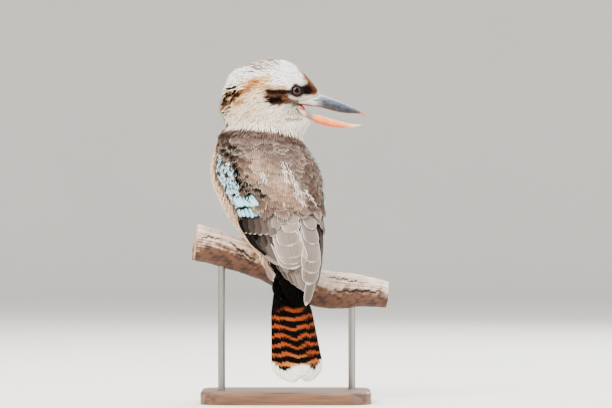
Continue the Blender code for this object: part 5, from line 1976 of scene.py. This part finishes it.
@dataclass
class Bill:
    """The open bill: a blue-grey upper half with a reddish hook, and a pale orange lower one."""

    middle: float = HEAD_MIDDLE
    # x, top, bottom and half width.
    upper: tuple = (
        (14.5, 339, 334, 13.8), (20, 341, 333, 13.4), (28, 344.5, 331.6, 11.6), (37.5, 345.6, 330.5, 9.6),
        (45, 343.2, 328.6, 8), (52, 340.6, 326.6, 6.6), (59, 337.6, 325, 5.3), (66, 334.6, 324, 4.1),
        (73, 331.5, 323.6, 3), (79, 328.9, 323.6, 2.1), (84, 326.2, 322.9, 1.4), (87.5, 323.4, 321, 0.9),
        (89.6, 320.6, 319.4, 0.5),
    )
    lower: tuple = (
        (14.5, 331.3, 324, 12.9), (20, 329, 318.5, 12.2), (28, 325.5, 314.3, 10.9), (37, 322.6, 311.4, 9.4),
        (46, 320, 308.9, 7.9), (55, 317.2, 307.5, 6.4), (64, 314.4, 307, 4.9), (72, 312.2, 307.6, 3.4),
        (79, 311.4, 309, 2), (84.6, 311.2, 310.4, 0.6),
    )
    edge: float = 1.3
    trough: float = 3.0
    nostril: tuple = (34.0, 338.4, 3.4, 0.65)  # x, height, reach and half width
    corner_at: tuple = (14.5, 330.5)
    corner_size: tuple = (7.5, 11.5, 5.0)
    upper_scale: tuple = (
        (14, "#D2CEC9"), (33, "#C2BFBE"), (38, "#7F848E"), (46, "#616976"), (62, "#535C6E"),
        (78, "#5C606C"), (90, "#B0644C"),
    )
    lower_scale: tuple = ((-0.1, "#DC642C"), (0.35, "#E68648"), (0.7, "#E6A673"), (1.0, "#E5C09C"))
    corner_scale: tuple = ((-1.0, "#D2C8C0"), (0.1, "#C9BDB4"), (0.45, "#A2584A"), (1.0, "#8E3F36"))
    gape: str = "#A8453C"  # the mouth's red
    def slit(self, x: Array, z: Array) -> Array:
        """How far places lie in the nostril's slit, from 0 to 1."""
        slit_x, slit_z, reach, tall = self.nostril
        return np.exp(-(((x - slit_x) / reach) ** 4) - (((z - slit_z - 0.12 * (x - slit_x)) / tall) ** 2))

    def upper_place(self, share: Array, turn: Array) -> Array:
        """Places on the upper half, with its nostril slits, grooves and cutting edge.

        Args:
            share: from pole to pole.
            turn: round the section.

        Returns:
            The places.
        """
        x, y, z, up, out = lofted(self.upper, (1.75, 3.2), share, turn, self.middle)
        keel = 0.35 * np.exp(-(((up + 0.72) / 0.2) ** 2)) * (1 - ease((x - 70) / 18))
        groove = 0.45 * np.exp(-(((z - self.nostril[1] + 0.22 * (x - self.nostril[0])) / 1.2) ** 2))
        groove = groove * ease((x - 36) / 6) * (1 - ease((x - 50) / 18))
        y = y + np.sign(out) * (keel - 1.5 * self.slit(x, z) - groove)
        return np.stack([x, y, z], axis=-1)

    def lower_place(self, share: Array, turn: Array) -> Array:
        """Places on the lower half, with its hollow upper side.

        Args:
            share: from pole to pole.
            turn: round the section.

        Returns:
            The places.
        """
        x, y, z, up, _ = lofted(self.lower, (4.5, 1.9), share, turn, self.middle)
        top, _, half = smooth_rows(self.lower, x).T
        across = (y - self.middle) / np.maximum(half - self.edge, 0.2)
        inside = np.clip(1 - across**4, 0, 1) * ease(up / 0.25)
        length = ease((x - 20) / 6) * (1 - ease((x - 70) / 9))
        return np.stack([x, y, z - (self.trough + 0.4 * (top - z)) * inside * length], axis=-1)

    def corner_place(self, share: Array, turn: Array) -> Array:
        """Places on the mouth's corner, a flattened ball that leans forward.

        Args:
            share: from pole to pole.
            turn: round the ball.

        Returns:
            The places.
        """
        polar = share * math.pi
        x, z = self.corner_at
        long, wide, tall = self.corner_size
        ahead = long * np.cos(polar)
        aside = wide * np.sin(polar) * np.cos(turn)
        up = tall * np.sin(polar) * np.sin(turn) - 0.5 * ahead
        return np.stack([x + ahead, self.middle + aside, z + up], axis=-1)

    def upper_half(self) -> None:
        """Make and paint the upper half."""
        thing = shaped_ball("bill_upper", 96, 150, self.upper_place)
        places = vertex_places(thing)
        x, y, z = places.T
        top, bottom, _ = smooth_rows(self.upper, x).T
        up = (z - bottom) / np.maximum(top - bottom, 0.5)
        rough = 0.22 * ripple(places * np.array([0.35, 1, 1]), (3.2, 1.6), 24)
        dark = ease((0.74 - up + rough) / 0.3) * ease((x - 36) / 9) * (1 - ease((x - 83) / 3))
        dark = dark * (0.95 + 0.4 * ripple(places, (6.0, 3.0), 23))
        rim = ease((0.12 - up) / 0.06) * ease((x - 22) / 6) * (1 - ease((x - 84) / 4))
        colours = layered(
            blend(x + 3 * ripple(places, (7.0,), 21), self.upper_scale),
            ("#1D1B22", np.clip(dark, 0, 0.97)),
            ("#8E5433", rim * 0.85),
            (self.gape, ease((0.3 - up) / 0.2) * (1 - ease((x - 24) / 8)) * 0.9),
            ("#C0705A", ease((x - 81) / 4)),
            ("#2A2422", np.clip(self.slit(x, z) * 1.3, 0, 1) * (np.abs(y - self.middle) > 3)),
        )
        paint(thing, colours)
        finish_piece(thing, HornFinish().build(), ("upper_bill",))

    def lower_half(self) -> None:
        """Make and paint the lower half."""
        thing = shaped_ball("bill_lower", 96, 130, self.lower_place)
        places = vertex_places(thing)
        x, y, z = places.T
        top, bottom, half = smooth_rows(self.lower, x).T
        up = (z - bottom) / np.maximum(top - bottom, 0.5)
        warm = ease((x - 40) / 8) * (1 - ease((x - 62) / 8)) * ease((0.45 - up) / 0.3)
        base = 1 - ease((x + 2.5 * ripple(places, (6.0,), 27) - 28) / 5)
        inner = self.edge * 0.5 + half * 0.9 - np.abs(y - self.middle) - 1.6
        inner = ease(inner / 0.6) * ease((up - 0.35) / 0.2) * (1 - ease((x - 66) / 8))
        colours = layered(
            blend(up + 0.12 * ripple(places, (12.0, 5.0), 25), self.lower_scale),
            ("#EBD2AE", ease((x - 62) / 18) * 0.75),
            ("#E0783A", warm * 0.6),
            ("#D9CFC6", base * 0.9),
            # Grey-brown on the base's upper side, under the upper half and the mouth's corner: painted shade.
            ("#7D736F", base * ease((x - 20) / 4) * ease((up - 0.05) / 0.3) * 0.85),
            ("#D9A58C", inner * 0.6),
            (self.gape, (1 - ease((x - 19) / 6)) * ease((up - 0.55) / 0.3) * 0.85),
        )
        paint(thing, colours)
        finish_piece(thing, HornFinish().build(), ("lower_bill",))

    def corner(self) -> None:
        """Make the mouth's corner: soft red skin between the two halves, pale outside."""
        thing = shaped_ball("mouth_corner", 48, 40, self.corner_place)
        ahead, _, up = (vertex_places(thing) - np.array([self.corner_at[0], 0, self.corner_at[1]])).T
        colours = blend((up + 0.5 * ahead) / self.corner_size[2], self.corner_scale)
        paint(thing, mix(colours, self.corner_scale[-1][1], ease((ahead - 4) / 2)))
        finish_piece(thing, LidFinish().build())

    def build(self) -> None:
        """Make both halves and the mouth's corner."""
        self.upper_half()
        self.lower_half()
        self.corner()


@dataclass
class Eyes:
    """Both eyes with their iris, pupil and lids."""

    radius: float = 7.0
    out: float = 18.6  # from the head's middle plane
    look: tuple = (0.13, 1.0, 0.05)
    # Distance from the eye's axis and the colour there.
    rings: tuple = (
        (0, "#020202"), (2.35, "#030202"), (2.7, "#38251E"), (3.4, "#63483E"), (3.9, "#6E5248"),
        (4.4, "#2E1E18"), (4.9, "#0C0807"),
    )
    lid: str = "#17100D"

    def frame(self, side: Side) -> tuple[Array, Array, Array, Array]:
        """Find an eye's own directions.

        Args:
            side: which eye.

        Returns:
            The eye's centre, the way that it looks, and its directions forward and up.
        """
        centre = np.array([EYE[0], HEAD_MIDDLE + side.value * self.out, EYE[1]])
        axis = unit(np.array(self.look) * np.array([1, side.value, 1]))
        ahead = unit(np.array([1.0, 0, 0]) - axis[0] * axis)
        return centre, axis, ahead, np.cross(axis, ahead)

    def ball(self, side: Side) -> None:
        """Make one eyeball, painted by its turn from the axis.

        Args:
            side: which eye.
        """
        centre, axis, ahead, up = self.frame(side)

        def place(share: Array, turn: Array) -> Array:
            """Places on the ball, from its pole in the axis.

            Args:
                share: from pole to pole.
                turn: round the axis.

            Returns:
                The places.
            """
            polar = share * math.pi
            ring = np.outer(np.cos(turn), ahead) + np.outer(np.sin(turn), up)
            return centre + self.radius * (np.outer(np.cos(polar), axis) + np.sin(polar)[:, None] * ring)

        thing = shaped_ball(f"eyeball_{side.word}", 64, 64, place)
        turned = unit(vertex_places(thing) - centre) @ axis
        lean = np.where(turned > 0, self.radius * np.sqrt(np.clip(1 - turned**2, 0, 1)), self.radius)
        paint(thing, blend(lean, self.rings))
        finish_piece(thing, GlassEyeFinish().build(), (f"eye_{side.word}",))

    def lids(self, side: Side) -> None:
        """Make the soft ring of both lids round the eye's opening, drawn to a point before and behind.

        Args:
            side: which eye.
        """
        centre, axis, ahead, up = self.frame(side)
        select_only([])
        bpy.ops.mesh.primitive_torus_add(major_segments=96, minor_segments=16)
        thing = bpy.context.object
        thing.name = f"lids_{side.word}"
        x, y, z = vertex_places(thing).T * MM
        around, turn = np.arctan2(y, x), np.arctan2(z, np.hypot(x, y) - 1.0)
        long = 5.5 + 0.55 * np.cos(around) ** 4
        tall = 4.9 - 0.35 * np.maximum(np.sin(around), 0)
        ring = np.outer(np.cos(around) * long, ahead) + np.outer(np.sin(around) * tall, up)
        rise = np.sqrt(np.maximum(self.radius**2 - (ring**2).sum(axis=-1), 1.0)) + 0.15
        swell = 0.55 + 0.12 * np.sin(around * 16)
        out = unit(ring) * (0.7 + np.cos(turn) * 1.875 * swell)[:, None]
        move_vertices(thing, centre + ring + out + np.outer(rise + np.sin(turn) * swell * 1.1, axis))
        shade_smooth(thing)
        paint(settle(thing), linear(self.lid))
        finish_piece(thing, LidFinish().build())

    def build(self) -> None:
        """Make both eyes and their lids."""
        for side in Side:
            self.ball(side)
            self.lids(side)


@dataclass
class Perch:
    """The cut length of branch that the bird sits on."""

    # x, y, height and radius.
    stations: tuple = (
        (-101, -10.6, 179, 20.5), (-85, -7.2, 175.5, 19.6), (-65, -3, 169, 19.4), (-45, 1.3, 162.8, 19.2),
        (-25, 5.5, 155.2, 19.4), (-5, 9.8, 146, 19.8), (16, 14.2, 136, 20.3), (38, 18.9, 127.8, 20.6),
        (60, 22.6, 124.8, 20.4), (83, 25.8, 124, 18.4), (104, 28.4, 121.6, 16.4), (114, 29.6, 120, 15.4),
    )
    uneven: float = 0.035
    round: float = 20.0  # millimetres round the branch for each radian
    cap: float = 0.05  # share of the rings that each sawn end takes up
    ring_turns: float = 46.0  # radians of growth rings from an end's middle to its edge
    # x at both ends, turn at both ends (degrees from the top towards the far side), half width, depth.
    cracks: tuple = (
        (-64, -34, -62, -94, 1.1, 2.2), (-58, -36, -84, -108, 0.8, 1.5), (-100, -70, -70, -58, 0.7, 1.2),
        (-97, -52, -20, -32, 0.5, 0.8), (40, 96, -46, -58, 0.7, 1.2), (52, 112, -92, -84, 0.9, 1.6),
        (-20, 60, 40, 26, 0.6, 1), (-90, -10, 120, 96, 0.8, 1.4), (20, 100, 150, 128, 0.8, 1.4),
    )

    def middle(self, x: Array) -> Array:
        """Places on the branch's middle line."""
        return np.concatenate([x[..., None], smooth_rows(self.stations, x)[..., :2]], axis=-1)

    def frame_at(self, x: Array) -> tuple[Array, Array, Array]:
        """Find the branch's own directions.

        Args:
            x: where along it.

        Returns:
            Its middle line's places, and the directions up and away from the viewer there.
        """
        along = unit(self.middle(x + 1.0) - self.middle(x - 1.0))
        across = unit(np.cross(np.array([0, 0, 1.0]), along))
        return self.middle(x), np.cross(along, across), across

    def radius(self, x: Array, turn: Array) -> Array:
        """The branch's radius at x, at a turn from its top towards the far side."""
        wave = np.sin(2 * turn + 0.04 * x) + 0.6 * np.sin(3 * turn - 0.07 * x + 1.0)
        return smooth_rows(self.stations, x)[..., 2] * (1 + self.uneven * wave)

    def on(self, x: Array, turn: Array, lift: Array | float, share: Array | float = 1.0) -> Array:
        """Find places over the branch's surface, or at a share of its radius.

        Args:
            x: the places' x.
            turn: their turn from the top towards the far side.
            lift: how high over the surface.
            share: of the radius.

        Returns:
            The places.
        """
        middle, up, across = self.frame_at(x)
        reach = (share * (self.radius(x, turn) + lift))[..., None]
        return middle + reach * (np.cos(turn)[..., None] * up + np.sin(turn)[..., None] * across)

    def crack_depth(self, x: Array, turn: Array) -> Array:
        """Find how deep the drying cracks are.

        Args:
            x: the places' x.
            turn: their turn from the top towards the far side.

        Returns:
            The depths.
        """
        depth = np.zeros_like(x)
        for first, last, start, end, half, deep in self.cracks:
            share = np.clip((x - first) / (last - first), 0, 1)
            line = np.radians(start + (end - start) * share) + 0.05 * np.sin(x * 0.5) + 0.03 * np.sin(x * 1.3)
            away = np.abs(np.angle(np.exp(1j * (turn - line)))) * self.round
            taper = np.maximum(np.sin(math.pi * share), 0) ** 0.6
            sunk = deep * taper * np.exp(-((away / (half * (0.3 + taper))) ** 2))
            depth = np.maximum(depth, sunk * (x > first) * (x < last))
        return depth

    def place(self, share: Array, turn: Array) -> Array:
        """Places on the branch, from the middle of one sawn end to the middle of the other.

        Args:
            share: from pole to pole.
            turn: from the top towards the far side.

        Returns:
            The places.
        """
        first, last = self.stations[0][0], self.stations[-1][0]
        x = first + (last - first) * np.clip((share - self.cap) / (1 - 2 * self.cap), 0, 1)
        inner = np.minimum(1, np.minimum(share, 1 - share) / self.cap)
        spot = self.on(x, turn, 0.0)
        rough = 0.35 * ripple(spot, (26.0, 12.0), 41)
        rough = rough + 0.18 * ripple(spot * np.array([0.25, 1, 1]), (4.0, 2.2), 42)
        bark = (rough - 0.35 - self.crack_depth(x, turn)) * (inner >= 0.999)
        spot = self.on(x, turn, bark, inner)
        sunk = 0.3 * (inner < 0.999) - 0.12 * np.sin(inner * self.ring_turns) * (inner < 0.98)
        spot[:, 0] += np.where(share < 0.5, 1, -1) * sunk
        return spot

    def build(self) -> None:
        """Make and paint the branch."""
        first, last = self.stations[0][0], self.stations[-1][0]
        thing = shaped_ball("branch", 180, 320, self.place)
        places = vertex_places(thing)
        x = places[:, 0]
        middle, up, across = self.frame_at(x)
        height, away = ((places - middle) * up).sum(-1), ((places - middle) * across).sum(-1)
        turn = np.arctan2(away, height)
        inner = np.hypot(height, away) / self.radius(x, turn)
        wander = 0.35 * ripple(places, (30.0, 12.0, 5.0), 43)
        streaks = ripple(np.stack([x * 0.06, 20 * turn, 0 * x], axis=-1), (7.0, 3.0), 46)
        # Towards the underside the branch turns rust-brown, its own colour, and then near-black at the
        # bottom, which is painted shade.
        low = ease((0.62 - np.cos(turn) + 0.8 * wander + 0.22 * streaks) / 1.15)
        sawn = linear("#C9A983") * (0.875 + 0.125 * np.sin(inner * self.ring_turns))[:, None]
        ends = ((x < first + 0.9) | (x > last - 0.9)) & (inner < 0.97)
        colours = layered(
            linear("#E2D3C6") + 0 * places,
            ("#CDB9AC", 0.5 * np.clip(0.5 + ripple(places, (16.0, 6.0), 44), 0, 1)),
            ("#9C7A60", np.clip(0.25 + 0.6 * streaks, 0, 0.8) * (1 - low)),
            ("#9C7A62", ease(low / 0.6) * 0.8),
            ("#6F4A31", ease((low - 0.35) / 0.5) * 0.9),
            ("#3E2819", low * np.clip(0.3 + ripple(places, (14.0, 5.0), 45), 0, 1) * 0.8),
            # The cracks are painted near-black by their depth: painted shade inside them.
            ("#22130B", ease(self.crack_depth(x, turn) / 0.7) * 0.95),
            (sawn, ends),
        )
        paint(thing, colours)
        self.map_grain(thing, x, turn)
        finish_piece(thing, WoodFinish().build(), ("perch",))

    def map_grain(self, thing: Thing, x: Array, turn: Array) -> None:
        """Map the grain along the branch in millimetres, with the seam underneath.

        Args:
            thing: the branch.
            x: its vertices' x.
            turn: their turn from the top.
        """
        loops = read_mesh(thing.data.loops, "vertex_index", 1, np.int32)
        totals = read_mesh(thing.data.polygons, "loop_total", 1, np.int32)
        around = turn[loops]
        owner = np.repeat(np.arange(len(totals)), totals)
        low, high = np.full(len(totals), 99.0), np.full(len(totals), -99.0)
        np.minimum.at(low, owner, around)
        np.maximum.at(high, owner, around)
        split = (high - low)[owner] > math.pi
        around = np.where(split & (around < 0), around + FULL_TURN, around)
        flat = np.stack([x[loops], around * self.round], axis=-1)
        layer = thing.data.uv_layers.new(name="grain")
        layer.data.foreach_set("uv", flat.astype(np.float32).ravel())


@dataclass(frozen=True)
class Toe:
    """One toe: its number, its heading in degrees, its length and its share of full thickness."""

    number: int
    heading: float
    length: float
    factor: float


@dataclass
class Feet:
    """Both feet gripping the branch: toes with scutes, claws and short legs."""

    perch: Perch
    gap: float = 0.35
    foot_x: dict = field(default_factory=lambda: {Side.LEFT: -44.0, Side.RIGHT: -8.0})
    foot_turn: float = 22.0
    forward: float = 0.16
    pad: float = 4.0
    toe_radius: float = 3.0
    scute: float = 1.9  # length of a toe's scutes
    raised: float = 0.16  # their height
    toes: tuple = (
        Toe(1, 180.0, 17.0, 1.0), Toe(2, 26.0, 19.0, 0.92), Toe(3, 2.0, 26.0, 1.0), Toe(4, -14.0, 23.0, 0.95)
    )
    claw_length: float = 8.0
    claw_radius: float = 1.7
    claw_scale: tuple = ((0, "#6B5B50"), (0.35, "#3A2F2A"), (1.0, "#1C1614"))
    leg_radius: float = 3.4
    leg_lean: tuple = (0.0545, -0.0839, 1.0)
    skin: str = "#8F8375"
    skin_dark: str = "#5F554C"
    leg_skin: str = "#8A7D70"
    tube_cap: float = 0.06  # share of a tube's rings that each round end takes up

    def path(self, side: Side, toe: Toe, lift: Array, distance: Array) -> Array:
        """Places along one toe at distances from the foot's middle.

        Args:
            side: which foot.
            toe: which toe.
            lift: how high over the branch.
            distance: from the foot's middle.

        Returns:
            The places.
        """
        heading = math.radians(side.value * toe.heading - self.foot_turn)
        x = self.foot_x[side] + distance * math.sin(heading)
        top = self.perch.radius(x, np.zeros_like(x)) + self.toe_radius
        return self.perch.on(x, self.forward + distance * math.cos(heading) / top, lift)

    def tube(self, name: str, line: Callable, radius: Callable, segments: int, rings: int) -> Thing:
        """Make a closed tube with round ends.

        Args:
            name: the new object's name.
            line: gives places on the middle line from shares of it.
            radius: gives the radius from those shares and turns round the line.
            segments: faces round the tube.
            rings: rings along it.

        Returns:
            The new object.
        """

        def place(share: Array, turn: Array) -> Array:
            """Places on the tube.

            Args:
                share: from end to end.
                turn: round the line.

            Returns:
                The places.
            """
            along = np.clip((share - self.tube_cap) / (1 - 2 * self.tube_cap), 0, 1)
            near = np.minimum(share, 1 - share) / self.tube_cap
            closing = np.sqrt(np.clip(1 - (1 - np.minimum(1, near)) ** 2, 0, 1))
            run = unit(line(np.clip(along + 0.01, 0, 1)) - line(np.clip(along - 0.01, 0, 1)))
            out = unit(np.cross(run, np.array([0.3, 0.2, 1.0])))
            reach = radius(along, turn)
            end = reach * (1 - closing) * np.where(share < 0.5, -0.6, 0.6) * (near < 1)
            ring = np.cos(turn)[:, None] * out + np.sin(turn)[:, None] * np.cross(out, run)
            return line(along) + ring * (reach * closing)[:, None] + run * end[:, None]

        return shaped_ball(name, segments, rings, place)

    def toe(self, side: Side, toe: Toe) -> Thing:
        """Make one toe with its overlapping scutes.

        Args:
            side: which foot.
            toe: which toe.

        Returns:
            The toe.
        """

        def girth(share: Array) -> Array:
            """The toe's radius along it."""
            knuckles = np.interp(share, np.linspace(0, 1, 6), [1.0, 0.98, 0.88, 0.95, 0.78, 0.62])
            return self.toe_radius * toe.factor * knuckles

        def line(share: Array) -> Array:
            """The toe's middle line."""
            return self.path(side, toe, self.gap + girth(share), share * (toe.length - 1.2))

        def radius(share: Array, turn: Array) -> Array:
            """The toe's radius with its scutes on top."""
            scutes = np.abs(np.sin(share * toe.length * math.pi / self.scute)) * (np.sin(turn) > -0.2)
            return girth(share) - self.raised + self.raised * scutes

        return self.tube(f"toe_{toe.number}", line, radius, 28, 90)

    def claw(self, side: Side, toe: Toe) -> None:
        """Make one curved claw.

        Args:
            side: which foot.
            toe: which toe it ends.
        """
        table = np.linspace(0, 1, 5)
        start = toe.length + 2 * self.gap - 1.0

        def girth(share: Array, _: Array | float = 0.0) -> Array:
            """The claw's radius along it."""
            return self.claw_radius * toe.factor * np.interp(share, table, [1.0, 0.86, 0.66, 0.42, 0.16])

        def line(share: Array) -> Array:
            """The claw's middle line."""
            lift = self.gap + girth(share) + np.interp(share, table, [0.1, 0.9, 1.1, 0.6, 0.0])
            return self.path(side, toe, lift, start + share * (self.claw_length + 0.6))

        thing = self.tube(f"talon_{side.word}_{toe.number}", line, girth, 20, 30)
        reach = np.linalg.norm(vertex_places(thing) - line(np.zeros(1)), axis=-1) / self.claw_length
        paint(thing, blend(reach, self.claw_scale))
        finish_piece(thing, ClawFinish().build(), (f"claw_{side.word}_{toe.number}",))

    def middle(self, side: Side) -> Array:
        """The middle of one foot's pad."""
        x, turn = np.array([self.foot_x[side]]), np.array([self.forward])
        return self.perch.on(x, turn, self.gap + self.pad)[0]

    def foot(self, side: Side) -> None:
        """Make the pad and the four toes of one foot in one piece.

        Args:
            side: which foot.
        """

        def place(share: Array, turn: Array) -> Array:
            """Places on the pad.

            Args:
                share: from pole to pole.
                turn: round it.

            Returns:
                The places.
            """
            polar = share * math.pi
            level = np.sin(polar)
            ring = np.stack([np.cos(turn) * level, np.sin(turn) * level, np.cos(polar)], axis=-1)
            rough = 0.96 + 0.04 * np.abs(np.sin(8 * turn)) * level
            return self.middle(side) + ring * (self.pad * rough)[:, None]

        thing = shaped_ball(f"toes_{side.word}", 36, 24, place)
        select_only([thing] + [self.toe(side, toe) for toe in self.toes])
        bpy.ops.object.join()
        places = vertex_places(thing)
        tone = np.clip(0.5 + ripple(places, (6.0, 2.5), 51), 0, 1)
        paint(thing, mix(linear(self.skin), self.skin_dark, tone * 0.7))
        finish_piece(thing, ScaleFinish().build(), (f"foot_{side.word}",))

    def leg(self, side: Side) -> None:
        """Make the short bare leg that goes up into the belly's feathers.

        Args:
            side: which leg.
        """
        name = f"leg_{side.word}"
        lean = unit(np.array(self.leg_lean))
        start = self.middle(side) + lean
        reach = (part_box(name)[1][2] / MM - start[2]) / lean[2] + 5.0

        def line(share: Array) -> Array:
            """The leg's middle line."""
            return start + np.outer(share * reach, lean)

        def radius(share: Array, _: Array) -> Array:
            """The leg's radius with its scutes."""
            return self.leg_radius - 0.2 + 0.2 * np.abs(np.sin(share * reach * math.pi / 2.6))

        thing = self.tube(f"shank_{side.word}", line, radius, 32, 60)
        paint(thing, linear(self.leg_skin))
        finish_piece(thing, ScaleFinish().build(), (name,))

    def build(self) -> None:
        """Make both feet, their claws and legs."""
        for side in Side:
            self.foot(side)
            self.leg(side)
            for toe in self.toes:
                self.claw(side, toe)


@dataclass
class Stand:
    """The base board and its two rods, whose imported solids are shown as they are."""

    finishes: dict = field(
        default_factory=lambda: {
            "stand_base": StandWoodFinish(),
            "stand_rod_left": RodFinish(),
            "stand_rod_right": RodFinish(),
        }
    )

    def build(self) -> None:
        """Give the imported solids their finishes."""
        for name, finish in self.finishes.items():
            thing = frame["nodes"][name]
            made = finish.build()
            if not thing.material_slots:
                thing.data.materials.append(made)
            for place in thing.material_slots:
                place.material = made
            LOG.info("%s: %s", name, made.name)


@dataclass(frozen=True)
class Lamp:
    """One soft square light that looks at the bird, in metres and watts."""

    name: str
    place: tuple
    size: float
    power: float
    tint: str = "#FFFFFF"


@dataclass
class Studio:
    """Pale floor and backdrop, soft lights and a long lens level with the bird."""

    width: float = 685.4  # of the view at the bird
    distance: float = 4200.0
    aim: tuple = (22.4, 222.2)  # x and height
    flat: float = 5.0  # metres of level floor round the bird
    bend: float = 1.5  # metres of the bend's radius
    reach: float = 9.0  # metres from the floor's middle to the backdrop's top, along the paper
    rings: int = 48
    lamps: tuple = (
        Lamp("key", (-1.1, -1.9, 2.0), 1.5, 230.0, "#FFF6EC"),
        Lamp("fill", (1.9, -1.5, 1.0), 1.7, 55.0, "#F6F9FF"),
        Lamp("top", (0.1, 0.5, 2.2), 1.5, 105.0),
        Lamp("back", (0.9, 1.9, 1.5), 1.4, 65.0),
    )
    lit: tuple = (0.0, 0.0, 0.24)  # where the lamps point, in metres
    sky: str = "#E9EAEC"
    sky_strength: float = 1.35

    def floor(self) -> None:
        """Make a round sheet that rises far outside the camera's path, so all sides have one backdrop."""
        select_only([])
        bpy.ops.mesh.primitive_uv_sphere_add(segments=64, ring_count=self.rings, radius=1)
        thing = bpy.context.object
        thing.name = "floor"
        places = vertex_places(thing) * MM
        polar = np.arccos(np.clip(-places[:, 2], -1, 1)) / math.pi
        run = np.round(polar * self.rings) / self.rings * self.reach
        curve = np.clip((run - self.flat) / self.bend, 0, math.pi / 2)
        reach = np.minimum(run, self.flat) + self.bend * np.sin(curve)
        height = self.bend * (1 - np.cos(curve))
        height = height + np.maximum(run - self.flat - self.bend * math.pi / 2, 0)
        ways = unit(places[:, :2] + 1e-9)
        move_vertices(thing, np.column_stack([ways * reach[:, None], height]) / MM)
        form = bmesh.new()
        form.from_mesh(thing.data)
        poles = [vert for vert in form.verts if len(vert.link_edges) > 20]
        bmesh.ops.delete(form, geom=[max(poles, key=lambda vert: vert.co.z)], context="VERTS")
        bmesh.ops.reverse_faces(form, faces=form.faces)
        form.to_mesh(thing.data)
        form.free()
        shade_smooth(thing)
        thing.data.materials.append(PaperFinish().build())

    def light(self, lamp: Lamp) -> None:
        """Hang one light.

        Args:
            lamp: its place, size, power and tint.
        """
        light = bpy.data.lights.new(lamp.name, "AREA")
        light.shape = "SQUARE"
        light.size = lamp.size
        light.energy = lamp.power
        light.color = linear(lamp.tint)
        thing = bpy.data.objects.new(lamp.name, light)
        thing.location = lamp.place
        thing.rotation_euler = (Vector(self.lit) - Vector(lamp.place)).to_track_quat("-Z", "Y").to_euler()
        bpy.context.scene.collection.objects.link(thing)

    def camera(self) -> None:
        """Set up a long lens, level, that frames the bird as the photograph does."""
        lens = bpy.data.cameras.new("camera")
        lens.sensor_width = 36.0
        lens.lens = lens.sensor_width * self.distance / self.width
        lens.clip_end = 100.0
        thing = bpy.data.objects.new("camera", lens)
        thing.location = (self.aim[0] * MM, -self.distance * MM, self.aim[1] * MM)
        thing.rotation_euler = (math.pi / 2, 0, 0)
        bpy.context.scene.collection.objects.link(thing)
        bpy.context.scene.camera = thing

    def build(self) -> None:
        """Set up the stage."""
        self.floor()
        for lamp in self.lamps:
            self.light(lamp)
        world = bpy.data.worlds.new("studio")
        world.use_nodes = True
        sky = world.node_tree.nodes["Background"].inputs
        sky["Color"].default_value = (*linear(self.sky), 1)
        sky["Strength"].default_value = self.sky_strength
        bpy.context.scene.world = world
        self.camera()


def main() -> None:
    """Build the model, piece by piece."""
    logging.basicConfig(level=logging.INFO, format="%(name)s %(message)s")
    Studio().build()
    markings = Markings()
    skin = Skin(markings)
    perch = Perch()
    coat = SoftCoat(skin, markings)
    wings, tail = Wings(markings.shape), Tail(markings.shape)
    for part in (skin, coat, wings, tail, Bill(), Eyes(), Feet(perch), Stand(), perch):
        part.build()


if __name__ == "__main__":
    main()
